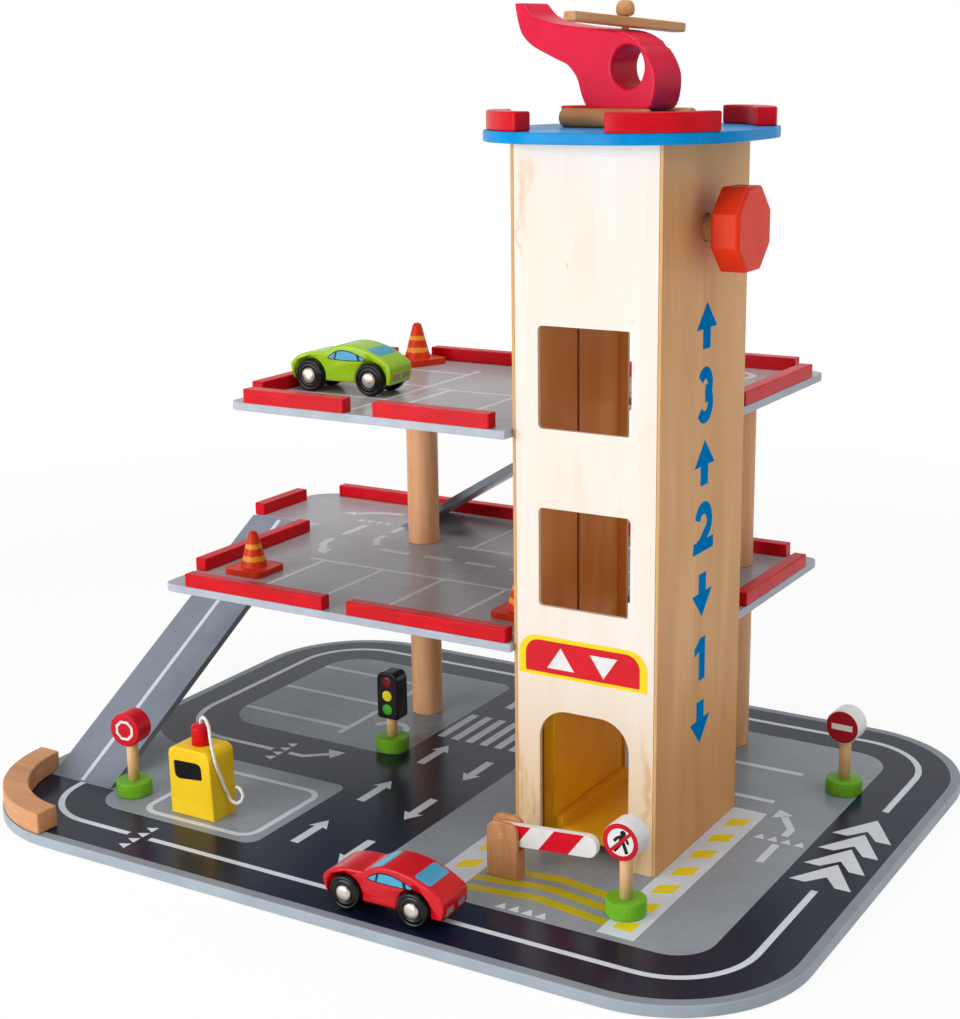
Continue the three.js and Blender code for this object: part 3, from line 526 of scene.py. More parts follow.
def ringPart(x, y, outer, width, start, end, corner):
    # part of a ring with its four corners rounded in plan
    inner = outer - width
    far = math.degrees(math.asin(corner / (outer - corner)))
    near = math.degrees(math.asin(corner / (inner + corner)))

    def spot(radius, angle):
        return x + radius * math.cos(math.radians(angle)), y + radius * math.sin(math.radians(angle))

    points = arcPoints(x, y, outer, start + far, end - far, 22)
    points += arcPoints(*spot(outer - corner, end - far), corner, end - far, end + 90, 5)[1:]
    points += arcPoints(*spot(inner + corner, end - near), corner, end + 90, end - near + 180, 5)
    points += arcPoints(x, y, inner, end - near, start + near, 20)[1:]
    points += arcPoints(*spot(inner + corner, start + near), corner, start + near + 180, start + 270, 5)[1:]
    points += arcPoints(*spot(outer - corner, start + far), corner, start + 270, start + far + 360, 5)[:-1]
    return points


def pairs(run):
    # each item of a closed run with the next one
    return list(zip(run, run[1:] + run[:1]))


def windingLeft(outline):
    area = sum(a[0] * b[1] - b[0] * a[1] for a, b in pairs(outline))
    return outline if area > 0 else outline[::-1]


def outwardBy(reach, before, here, after):
    # from a corner of a left-winding outline to the same corner when the outline is moved outwards
    one = (here - before).normalized()
    two = (after - here).normalized()
    side = Vector(((one + two).y, -(one + two).x)).normalized()
    return side * reach / max(0.35, side.dot(Vector((one.y, -one.x))))


def grown(outline, reach):
    points = [Vector(point) for point in windingLeft(outline)]
    return [tuple(here + outwardBy(reach, before, here, after))
            for before, (here, after) in zip(points[-1:] + points[:-1], pairs(points))]


def clipped(bar, shape):
    # the part of a bar that lies inside a convex outline
    points = bar
    for a, b in pairs(windingLeft(shape)):
        kept = []
        for p, q in pairs(points):
            sideP = (b[0] - a[0]) * (p[1] - a[1]) - (b[1] - a[1]) * (p[0] - a[0])
            sideQ = (b[0] - a[0]) * (q[1] - a[1]) - (b[1] - a[1]) * (q[0] - a[0])
            if sideP >= 0:
                kept.append(p)
            if (sideP >= 0) != (sideQ >= 0):
                share = sideP / (sideP - sideQ)
                kept.append((p[0] + (q[0] - p[0]) * share, p[1] + (q[1] - p[1]) * share))
        points = kept
    return points


def printed(finish, *outlines):
    return [(finish, outline) for outline in outlines]


# Pieces: how a mesh gets its finishes and its body
shadeSet = {"merge": 0.00002, "bevelAngle": 35, "sharpAngle": 44, "weight": 80, "rimSteps": 4}


def smooth(obj, bevel=0.0, segments=3, weld=False):
    s = shadeSet
    if weld:
        joint = obj.modifiers.new("weld", "WELD")
        joint.merge_threshold = s["merge"]
    if bevel:
        soft = obj.modifiers.new("softEdges", "BEVEL")
        soft.width = bevel / 1000
        soft.segments = segments
        soft.limit_method = "ANGLE"
        soft.angle_limit = math.radians(s["bevelAngle"])
        soft.harden_normals = False
        soft.use_clamp_overlap = True
    for polygon in obj.data.polygons:
        polygon.use_smooth = True
    normals = obj.modifiers.new("evenNormals", "WEIGHTED_NORMAL")
    normals.keep_sharp = True
    normals.weight = s["weight"]


def dress(name, finish, bevel=0.0, segments=3):
    # a node of the frame that stays as it is, with a finish and soft edges
    obj = nodes[name]
    obj.data.materials.clear()
    obj.data.materials.append(finishes[finish])
    smooth(obj, bevel, segments, weld=True)


def meshFrom(name, made, finishNames=()):
    mesh = bpy.data.meshes.new(name)
    made.to_mesh(mesh)
    made.free()
    for finish in finishNames:
        mesh.materials.append(finishes[finish])
    return mesh


def newPiece(name, mesh, body):
    obj = link(bpy.data.objects.new(name, mesh))
    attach(obj, body)
    return obj


def rimLevels(thick, soft, under):
    # how far out and down each ring of the rim lies, from the top face to the lower one
    if not soft:
        return [(0.0, 0.0), (0.0, thick)]
    turns = [math.pi / 2 * k / shadeSet["rimSteps"] for k in range(shadeSet["rimSteps"] + 1)]
    levels = [(soft * math.sin(t), soft * (1 - math.cos(t))) for t in turns]
    if under:
        return levels + [(reach, thick - down) for reach, down in reversed(levels)]
    return levels + [(soft, thick)]


# A flat piece from printed areas, later ones over earlier ones; None cuts a hole, and soft rounds its rims.
def sheetPiece(name, layers, lift, thick, body, slot, edge=None, cuts=(), soft=0.0, under=True):
    points, outlines = [], []
    for i, (finish, outline) in enumerate(layers):
        if soft and (i == 0 or not finish):
            outline = grown(outline, soft if i else -soft)
        else:
            outline = windingLeft(outline)
        outlines.append(list(range(len(points), len(points) + len(outline))))
        points += [Vector(point) for point in outline]
    edges = []
    for a, b in cuts:
        edges.append((len(points), len(points) + 1))
        points += [Vector(a), Vector(b)]
    flat, _, faces, _, _, origins = delaunay_2d_cdt(points, edges, outlines, 1, 1e-4)
    names = list(dict.fromkeys([finish for finish, _ in layers if finish] + ([edge] if edge else [])))
    kept = []
    for face, inside in zip(faces, origins):
        finish = layers[max(inside)][0] if inside else None
        if finish:
            kept.append((list(face), names.index(finish)))
    # the rim is where only one face lies along an edge
    borders = set()
    for face, _ in kept:
        borders.update(pairs(face))
    rim = [(a, b) for a, b in borders if (b, a) not in borders]
    following, leading = dict(rim), {b: a for a, b in rim}
    out = {a: outwardBy(1.0, flat[leading[a]], flat[a], flat[following[a]]) for a in following}
    made = bmesh.new()
    top = {i: made.verts.new(lift(flat[i].x, flat[i].y, 0.0)) for i in {i for face, _ in kept for i in face}}
    rings = [{i: top[i] for i in out}]
    for reach, down in rimLevels(thick, soft, under)[1:]:
        ring = {}
        for i, way in out.items():
            x, y = flat[i].x + way.x * reach, flat[i].y + way.y * reach
            ring[i] = made.verts.new(lift(x, y, -down))
        rings.append(ring)
    low = {i: rings[-1][i] if i in out else made.verts.new(lift(flat[i].x, flat[i].y, -thick)) for i in top}
    sideIndex = names.index(edge) if edge else 0
    for face, index in kept:
        made.faces.new([top[i] for i in face]).material_index = index
        made.faces.new([low[i] for i in reversed(face)]).material_index = sideIndex
    for first, second in zip(rings, rings[1:]):
        for a, b in rim:
            made.faces.new((first[b], first[a], second[a], second[b])).material_index = sideIndex
    obj = newPiece(name, meshFrom(name, made, names), body)
    if soft:
        smooth(obj)
        obj.data.set_sharp_from_angle(angle=math.radians(shadeSet["sharpAngle"]))
    return obj


def onLevel(z):
    return lambda x, y, h: at(x, y, z + h)


def onFront(y):
    return lambda x, z, h: at(x, y - h, z)


def onGroup(turn, spot):
    # on a turned toy; spot gives x, y and z there for the sheet's two lengths and its height
    return lambda a, b, h: turn @ (Vector(spot(a, b, h)) / 1000)


def turnedPiece(name, profile, body, finish, steps, place):
    # profile is (radius, height) from the axis round to the axis; a third value is the finish from there on
    names = list(dict.fromkeys([finish] + [point[2] for point in profile if len(point) > 2]))
    made = bmesh.new()
    rings, bands, current = [], [], 0
    for point in profile:
        radius, height = point[0] / 1000, point[1] / 1000
        current = names.index(point[2]) if len(point) > 2 else current
        bands.append(current)
        turns = [2 * math.pi * k / steps for k in range(steps if radius else 1)]
        rings.append([made.verts.new(place @ Vector((radius * math.cos(t), radius * math.sin(t), height)))
                      for t in turns])
    for low, high, index in zip(rings, rings[1:], bands[1:]):
        for k in range(steps):
            n = (k + 1) % steps
            around = [low[k % len(low)], low[n % len(low)], high[n % len(high)], high[k % len(high)]]
            face = made.faces.new(list(dict.fromkeys(around)))
            face.material_index = index
            face.smooth = True
    bmesh.ops.recalc_face_normals(made, faces=made.faces)
    return newPiece(name, meshFrom(name, made, names), body)


def roundedPuck(diameter, height, edge, steps=4):
    # a turned disc standing on z = 0 with round edges
    r = diameter / 2
    low = [(r - edge + edge * math.sin(math.radians(a)), edge - edge * math.cos(math.radians(a)))
           for a in range(0, 91, 90 // steps)]
    return [(0, 0), *low, *[(x, height - z) for x, z in reversed(low)], (0, height)]


# Base board: the printed street plan
streetSet = {
    "width": 594.3, "depth": 457.1, "thick": 7.4, "corner": 90, "border": 7.2, "soft": 0.8,
    "line": 4.5, "turnLine": 5.2, "lotLine": 4.6, "bayLine": 5,
    "lots": (225.6, 171.7, 117.8), "bays": (145.4, 199.8),
    "up": {"x": -129.2, "tip": -29.3, "last": 252.2, "length": 39.2, "down": False},
    "down": {"x": -85.5, "tip": -80.2, "last": 209, "length": 38.6, "down": True}, "arrowPitch": 76.6,
    "zebra": -147.7, "zebraPitch": 12.4, "zebraBar": 6.4, "zebraFront": 137, "zebraBack": 188.6,
    "chevron": 41.2, "chevronPitch": 25.6,
    "bands": (-24.2, 100.0), "bandWidth": 24.4, "bandFront": -80.2, "bandBack": 124.6,
    "square": -48.2, "squarePitch": 28.2, "squareInset": 6.1, "squareWidth": 12.4,
    "waves": (-30.4, -44.9, -59.8), "waveWidth": 8,
}
laneLines = [
    [(-320.9, -60, 0), (-320.9, -111.7, 46), (-233.7, -111.7, 0)],
    [(-215.5, -111.7, 0), (192.7, -111.7, 53), (192.7, 32.2, 0)],
    [(192.7, 166, 0), (192.7, 284, 53), (-340.2, 284, 53), (-340.2, 54.5, 53), (-240.7, 54.5, 0)],
    [(-225.5, 54.5, 0), (-213, 54.5, 3), (-197, 67.6, 0)],
]
turnLines = [[(147.6, 97, 0), (147.6, 108.5, 4), (136.6, 125.5, 0)], [(147.6, 53.2, 0), (147.6, 82.4, 0)]]
waveRun = [(0.3, -8), (25, -4), (44, -0.9), (50, -0.2), (56, -0.9), (75, -4), (99.8, -8)]


def streetIslands():
    # behind the pump, round the pump, the pump's own with its line, and round the tower
    behind = [(-315.5, 87.6, 32), (-151, 87.6, 10), (-151, 259.6, 10), (-315.5, 259.6, 32)]
    bend = [(-160, 24, 0), (-151, 24, 9), (-151, -85.7, 10), (-291.5, -85.7, 23), (-291.5, -62, 0),
            (-362.7, -62, 0)]
    tower = [(-63.6, -85.7, 10), (167.5, -85.7, 26), (167.5, 259.6, 27), (-63.6, 259.6, 10)]
    layers = printed("island", rounded(behind),
                     arcPoints(-287, 106, 82, 202.4, 270, 10) + rounded(bend, closed=False))
    layers += printed("line", box(-254.8, -79.4, -158.0, 7.6, 14))
    return layers + printed("island", box(-250.4, -75.0, -162.4, 3.2, 9.6), rounded(tower))


def streetLines():
    s = streetSet
    lines = []
    for runs, width in ((laneLines, s["line"]), (turnLines, s["turnLine"])):
        lines += [stroke(rounded(run, closed=False, steps=14), width) for run in runs]
    # the heads of the two turning arrows
    lines += [[(-188.5, 74.6), (-203.6, 74.2), (-193, 61)], [(129.2, 135.6), (129.2, 121), (141.2, 129.8)]]
    lines += [levelBar(-315.3, -216.6, y, s["lotLine"]) for y in s["lots"]]
    lines += [box(-218.8, 105.8, -214.4, 238), stroke(arcPoints(-187.5, 130.5, 13.6, -12, 168, 20), 5)]
    lines += [levelBar(24, 121.2, y, s["bayLine"]) for y in s["bays"]]
    for k in range(4):
        for way in (s["up"], s["down"]):
            tip = way["tip"] + s["arrowPitch"] * k if k < 3 else way["last"]
            lines.append(straightArrow(way["x"], tip, way["length"], way["down"]))
    for k in range(7):
        left = s["zebra"] + s["zebraPitch"] * k
        lines.append(box(left, s["zebraFront"], left + s["zebraBar"], s["zebraBack"]))
    for k in range(4):
        low = s["chevron"] + s["chevronPitch"] * k
        lines.append([(172.5, low), (183, low), (192.6, low + 12.3), (202.2, low), (212.6, low),
                      (192.6, low + 32.5)])
    return printed("line", *lines)


def streetMarks():
    # the two banded strips with their yellow squares, the waves at the gate, and the rows of triangles
    s = streetSet
    layers = []
    for left in s["bands"]:
        layers += printed("line", box(left, s["bandFront"], left + s["bandWidth"], s["bandBack"]))
        a = left + s["squareInset"]
        c = a + s["squareWidth"]
        layers += printed("mark", [(a, -71), (c, -71), (c, -57.6), (a, -64)])
        for k in range(6):
            low = s["square"] + s["squarePitch"] * k
            layers += printed("mark", [(a, low), (c, low + 6.6), (c, low + 19.2), (a, low + 12.6)])
    for peak in s["waves"]:
        layers += printed("wave", stroke([(x, peak + y) for x, y in waveRun], s["waveWidth"]))
    for x, y, turn in ((147.5, 89.9, 0), (49.3, -78.4, 0), (-234, 55, 90), (-225.2, -113, 90)):
        layers += printed("line", *triangleRow(x, y, turn))
    return layers


def makeStreets():
    s = streetSet
    left, front = -siteSet["fromLeft"], -siteSet["fromFront"]
    right, back = left + s["width"], front + s["depth"]
    b = s["border"]
    layers = printed("border", box(left, front, right, back, s["corner"], 24))
    layers += printed("road", box(left + b, front + b, right - b, back - b, s["corner"] - b, 24))
    layers += streetIslands() + streetLines() + streetMarks()
    board = sheetPiece("streetBoard", layers, onLevel(0.0), s["thick"], "garage", "road_board",
                       edge="boardEdge", soft=s["soft"])
    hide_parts("base_board")
    print("street board printed:", len(layers), "areas")


# Decks and ramps; the notch is where both decks pass round the tower
deckSet = {"thick": 5.6, "line": 3.4, "soft": 0.6, "lotPitch": 52.1, "dashPitch": 37.1, "back": 276,
           "notch": [(-0.3, 126.1, 0), (99.3, 126.1, 1.5), (99.3, 276, 8)]}
rampLineSet = {"left": -324.8, "right": -321.4, "inset": 1.5, "lift": 0.12, "thick": 0.15}


def lowerDeckLayers():
    s = deckSet
    w, lot, dash = s["line"], s["lotPitch"], s["dashPitch"]
    rim = [(-286.5, -4.5, 8), (-0.3, -4.5, 0), *s["notch"], (-350.5, s["back"], 28), (-350.5, 182, 5),
           (-286.5, 182, 0)]
    lines = [levelBar(-231.4, -4, 98.3, w)]
    lines += [uprightBar(-218.6 + lot * k, 6, 98.3, w) for k in range(5)]
    lines += [box(-197.5 + dash * k, 139.9, -172.4 + dash * k, 145.3) for k in range(7)]
    lines += [box(-151.3, 175.7, 31, 179.6)]
    lines += [uprightBar(-139.1 + lot * k, 178, 264, w) for k in range(4)]
    # the turning arrows at the head of the ramp
    lines += [
        box(-252.2, 165.5, -246.2, 196.7), box(-221.7, 188.5, -216.0, 214),
        stroke(rounded([(-219, 177.5, 0), (-217.5, 165, 12), (-208.5, 151.3, 0)], closed=False), 5.4),
        stroke(rounded([(-249.2, 152.2, 0), (-248.5, 139, 12), (-237.5, 121.5, 0)], closed=False), 5.8),
        [(-229.4, 112.4), (-242.6, 119.2), (-232.4, 127.2)],
        stroke(arcPoints(-243, 190, 48, 88, 134, 10), 5.6),
        [(-288.2, 221.5), (-280.6, 229.6), (-274.6, 219.4)],
        *triangleRow(-248.5, 207.2, 180, pitch=8.6, size=3.4),
    ]
    return printed("deckTop", rounded(rim)) + printed("deckLine", *lines)


def upperDeckLayers():
    s = deckSet
    w = s["line"]
    rim = [(-215, -9.5, 8), (-0.3, -9.5, 0), *s["notch"], (5, s["back"], 3), (5, 205.5, 0), (-215, 205.5, 8)]
    lines = [uprightBar(-123.5, 2, 166.6, w), *[levelBar(-203, -123.5, y, w) for y in (43.8, 97.6, 151.5)]]
    lines += [levelBar(-113.5, -4, 93.4, w), *[uprightBar(x, 2, 93.4, w) for x in (-102.6, -50.2)]]
    lines += [circle(47, 233, 16.3)]
    return (printed("deckTop", rounded(rim)) + printed("deckLine", *lines)
            + printed("deckTop", circle(47, 233, 10.8)))


def makeDecks():
    s = deckSet
    for word, layers in (("lower", lowerDeckLayers()), ("upper", upperDeckLayers())):
        deck = sheetPiece(word + "Deck", layers, onLevel(deckLevels[word]), s["thick"], "garage",
                          "deck_board", edge="deckEdge", soft=s["soft"])
        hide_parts(word + "_deck")
        dress(word + "_ramp", "ramp", 0.5)
    # one painted line runs up the middle of the lower ramp
    r = rampLineSet
    low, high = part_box("lower_ramp")
    slope = (high.z - foot.z) / (high.y - low.y)

    def onRamp(x, y, h):
        point = Vector((foot.x + x / 1000, low.y + y / 1000, foot.z + slope * y / 1000))
        return point + Vector((0, -slope, 1)).normalized() * (h + r["lift"]) / 1000

    stripe = box(r["left"], r["inset"], r["right"], (high.y - low.y) * 1000 - r["inset"])
    sheetPiece("rampLine", [("line", stripe)], onRamp, r["thick"], "garage", "deck_board")
    print("decks and ramps done")


# The nodes that keep the frame's own shape: finish, width of the soft edge and its steps
dressSet = {
    "tower_front": ("plyFront", 0.35, 2), "tower_back": ("plyBack", 0.35, 2),
    "tower_left": ("plyLeftShaded", 0.35, 2), "tower_right": ("plyRightShaded", 0.35, 2),
    "cabin_frame": ("cabin", 0.5, 4), "cabin_floor": ("cabin", 0.5, 4),
    "lift_shaft": ("natural", 0.6, 4), "lift_knob": ("orange", 0.9, 4), "barrier_arm": ("arm", 0.8, 4),
    "cone_lower_left": ("coneLow", 0.8, 4), "cone_lower_right": ("coneLow", 0.8, 4),
    "cone_upper": ("coneHigh", 0.8, 4),
}


def dressNodes():
    for part, values in dressSet.items():
        dress(part, *values)
    for part in nodes:
        low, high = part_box(part)
        if part.startswith("rail_"):
            dress(part, "redDeep" if high.y - low.y > high.x - low.x else "red", 0.9, 4)
        if part.startswith("post_"):
            dress(part, "beech", 0.6)


# Landing pad, its four bumpers, and the crescent block at the foot of the ramp
padSet = {"x": 49, "y": 63, "half": 83.7, "corner": 65.5, "thick": 6.7, "soft": 0.9}
bumperSet = {
    "outer": 68.5, "width": 13, "height": 11.5, "spread": 60, "corner": 2.2, "soft": 1.3,
    "corners": {"back_right": (14, 14, 14), "back_left": (-14, 14, 92),
                "front_left": (-14.8, -14, 191.5), "front_right": (16.2, -16.4, -84)},
}
stopSet = {"x": -280, "y": -54.7, "outer": 89, "width": 17.5, "height": 15, "from": 179, "to": 267,
           "corner": 1.3, "soft": 1.1}


def makePad():
    s, b, r = padSet, bumperSet, stopSet
    half = s["half"]
    plate = box(s["x"] - half, s["y"] - half, s["x"] + half, s["y"] + half, s["corner"], 26)
    pad = sheetPiece("landingPad", [("blue", plate)], onLevel(padTop), s["thick"], "garage", "blue_paint",
                     soft=s["soft"])
    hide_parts("helipad")
    for name, (right, back, start) in b["corners"].items():
        outline = ringPart(s["x"] + right, s["y"] + back, b["outer"], b["width"], start, start + b["spread"],
                           b["corner"])
        bumper = sheetPiece("bumper" + name.title().replace("_", ""), [("red", outline)],
                            onLevel(padTop + b["height"]), b["height"], "garage", "red_paint", soft=b["soft"])
        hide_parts(f"bumper_{name}")
    outline = ringPart(r["x"], r["y"], r["outer"], r["width"], r["from"], r["to"], r["corner"])
    block = sheetPiece("rampStop", [("beechFlat", outline)], onLevel(r["height"]), r["height"], "garage",
                       "beech", soft=r["soft"])
    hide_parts("ramp_stop")


# Plate over the gate, with two triangles
plateSet = {"left": 3.6, "right": 93.2, "bottom": 120.4, "top": 146.6, "corner": 13, "rim": 4.9,
            "thick": 0.25, "lowRim": 2.2, "topRim": 2.8, "apart": 15, "markZ": 132.6}


def makePlate():
    s = plateSet
    yellow = tab(s["left"], s["bottom"], s["right"], s["top"], 1, s["corner"])
    red = tab(s["left"] + s["rim"], s["bottom"] + s["lowRim"], s["right"] - s["rim"], s["top"] - s["topRim"],
              0.8, s["corner"] - 3.4)
    layers = printed("plateYellow", yellow) + printed("plateRed", red)
    middle = (s["left"] + s["right"]) / 2
    for x, turn in ((middle - s["apart"], 0), (middle + s["apart"], 180)):
        layers += printed("white", shifted([(-9.5, -6.6), (9.5, -6.6), (0, 7.6)], x, s["markZ"], turn))
    sheetPiece("liftPlate", layers, onFront(-s["thick"]), s["thick"], "garage", "sign_face")


# Seven generic marks down the tower's side: arrows and the three floor numbers
columnSet = {"side": 100, "centre": 64.5, "top": 353.2, "height": 28.6, "pitch": 42.8, "thick": 0.15}


def makeColumn():
    s = columnSet
    h = s["height"]
    up = [(-5.5, 0), (5.5, 0), (5.5, 12.5), (15, 12.5), (0, h), (-15, 12.5), (-5.5, 12.5)]
    down = [(x, h - y) for x, y in up]
    one = [(-3, 0), (6, 0), (6, h), (-1.5, h), (-10, h - 5.5), (-10, h - 11), (-3, h - 8.2)]
    two = stroke(arcPoints(0, h - 9.6, 9.2, 165, -32, 16) + [(-4.5, 4.8), (-9.5, 4.2)], 8)
    twoFoot = [(-15.5, 0), (15.5, 0), (15.5, 7.4), (-14.5, 7.4)]
    threeTop = stroke(arcPoints(-1, h - 8.3, 7.6, 150, -88, 16), 7.6)
    threeLow = stroke(arcPoints(-1, 8.6, 8.4, 88, -150, 16), 7.6)
    marks = [[up], [threeTop, threeLow], [up], [two, twoFoot], [down], [one], [down]]
    for k, outlines in enumerate(marks):
        base = s["top"] - h - s["pitch"] * k
        layers = printed("ink", *[shifted(outline, s["centre"], base) for outline in outlines])
        sheetPiece(f"towerMark{k + 1}", layers, lambda y, z, out: at(s["side"] + s["thick"] + out, y, z),
                   s["thick"], "garage", "sign_face")
    print("tower dressed")


# Helicopter
helicopterSet = {"x": 50, "y": 62.5, "turn": -14.5, "thick": 25.4, "tail": 87.7, "nose": 27.6, "bottom": 10.3,
                 "top": 74.6, "soft": 1.9, "holeX": 5.6, "holeZ": 35.4, "hole": 25.6, "pinX": -6.8}
skidSet = {"size": 11.5, "soft": 0.7, "front": (-15.6, -42, 24.5), "back": (15.6, -33.5, 33)}
bladeSet = {"length": 78, "width": 14, "thick": 5.6, "z": 61.7, "turn": 71.5, "lean": 5.3, "corner": 1.6,
            "bore": 2.5, "soft": 1.2}
# the side view as shares of length and height, from the tail's tip round and back to it
helicopterShares = [
    (0.001, 1), (0.008, 0.927), (0.022, 0.83), (0.044, 0.728), (0.075, 0.662), (0.118, 0.606),
    (0.175, 0.557), (0.23, 0.52), (0.292, 0.476), (0.343, 0.444), (0.387, 0.412), (0.425, 0.352),
    (0.452, 0.296), (0.47, 0.221), (0.487, 0.133), (0.512, 0.05), (0.535, 0.015), (0.57, 0), (0.605, 0),
    (0.75, 0), (0.9, 0), (0.93, 0.003), (0.957, 0.02), (0.98, 0.07), (0.993, 0.15), (1, 0.235),
    (0.997, 0.33), (0.978, 0.413), (0.945, 0.505), (0.898, 0.592), (0.85, 0.645), (0.796, 0.691),
    (0.72, 0.723), (0.625, 0.742), (0.53, 0.755), (0.448, 0.768), (0.35, 0.788), (0.267, 0.812),
    (0.205, 0.838), (0.157, 0.862), (0.115, 0.9), (0.082, 0.955), (0.053, 0.999),
]
rotorPinProfile = [
    (0, 54), (2.2, 54), (2.2, 65.1), (3.9, 65.1), (5.0, 65.9), (5.6, 67.4), (5.7, 69.6), (5.2, 71.8),
    (4.2, 73.3), (2.6, 74.2), (0, 74.3),
]


def curved(points):
    # a smooth run through points, with one more between each two
    made = []
    for i in range(len(points) - 1):
        p = [Vector(points[max(0, min(len(points) - 1, i + k))]) for k in (-1, 0, 1, 2)]
        for t in (0.0, 0.5):
            square = (2 * p[0] - 5 * p[1] + 4 * p[2] - p[3]) * t * t
            cube = (3 * p[1] - p[0] - 3 * p[2] + p[3]) * t ** 3
            made.append(tuple(0.5 * (2 * p[1] + (p[2] - p[0]) * t + square + cube)))
    return made + [tuple(points[-1])]


def makeHelicopter():
    s, b, k = helicopterSet, bladeSet, skidSet
    length, high, half = s["tail"] + s["nose"], s["top"] - s["bottom"], s["thick"] / 2
    side = curved([(along * length - s["tail"], s["bottom"] + up * high) for along, up in helicopterShares])
    turn = stand(s["x"], s["y"], padTop, s["turn"])
    hole = circle(s["holeX"], s["holeZ"], s["hole"] / 2, 48)
    body = sheetPiece("helicopterShell", [("redHeavySheen", side), (None, hole)],
                      onGroup(turn, lambda x, z, h: (x, -half - h, z)), s["thick"], "helicopter", "red_paint",
                      soft=s["soft"])
    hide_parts("helicopter_body")
    pin = turn @ move(s["pinX"], 0, 0)
    turnedPiece("rotorPin", rotorPinProfile, "helicopter", "natural", 32, pin)
    for name in ("front", "back"):
        y, left, right = k[name]
        rod = [(x, z, "endGrain" if i < 5 or i > 6 else "skid")
               for i, (x, z) in enumerate(roundedPuck(k["size"], right - left, k["soft"], 3))]
        place = turn @ move(left, y, k["size"] / 2) @ spin(90, "Y")
        skid = turnedPiece(name + "Skid", rod, "helicopter", "endGrain", 40, place)
        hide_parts(f"skid_{name}")
    tilt = turn @ move(s["pinX"], 0, b["z"]) @ spin(b["turn"]) @ spin(b["lean"], "Y")
    outline = box(-b["length"] / 2, -b["width"] / 2, b["length"] / 2, b["width"] / 2, b["corner"])
    blade = sheetPiece("rotorBlade", [("blade", outline), (None, circle(0, 0, b["bore"], 24))],
                       onGroup(tilt, lambda x, y, h: (x, y, b["thick"] / 2 + h)), b["thick"], "rotor",
                       "natural_wood", soft=b["soft"])
    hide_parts("rotor")
    print("helicopter done")


# Cars: one shared profile with each car's own overhangs; prints lie just off the painted shell
carSet = {"width": 28, "bottom": 8.2, "height": 25.6, "wheelbase": 48.4, "wheel": 22.4, "tread": 7,
          "proud": 2, "edge": 1.2, "off": 0.08, "print": 0.2, "lampPrint": 0.16, "pane": 11.6,
          "paneCorner": 2.2, "screen": (0.375, 0.50), "rearWindow": (0.745, 0.87), "drawnLength": 84.0,
          "windowX": 15.2}
carPlaces = {
    "red": {"x": -44.7, "y": -115.4, "z": 0, "turn": 0.6, "ahead": 16.8, "behind": 21.2, "finish": "carRed"},
    "green": {"x": -187.9, "y": 60.7, "z": deckLevels["upper"], "turn": 2.4, "ahead": 16.3, "behind": 16.4,
              "finish": "lime"},
}
carShares = [
    (0.03, 0), (0.004, 0.22), (0, 0.37), (0.012, 0.43), (0.035, 0.505), (0.065, 0.58), (0.105, 0.645),
    (0.15, 0.69), (0.2, 0.72), (0.25, 0.735), (0.3, 0.738), (0.345, 0.745), (0.37, 0.785), (0.4, 0.85),
    (0.435, 0.91), (0.475, 0.96), (0.515, 0.988), (0.56, 1), (0.61, 0.995), (0.665, 0.972), (0.72, 0.93),
    (0.78, 0.87), (0.84, 0.79), (0.9, 0.69), (0.95, 0.585), (0.98, 0.52), (0.996, 0.465), (1, 0.4),
    (1, 0.17), (0.985, 0),
]
# the side window and the two dark bars across it, drawn for a car of drawnLength
windowOutline = [(17.5, 24.0), (19.2, 25.7), (22.5, 28.1), (26.5, 29.7), (31, 30.3), (36, 29.9), (41, 28.7),
                 (46, 26.9), (51, 24.9), (49.4, 23.4), (42, 23.0), (34, 22.8), (26, 22.9), (19, 23.3)]
windowBars = [[(37.9, 21), (39.3, 21), (42.0, 31), (40.4, 31)],
              [(57.0, 31), (59.0, 31), (61.6, 21), (59.3, 21)]]


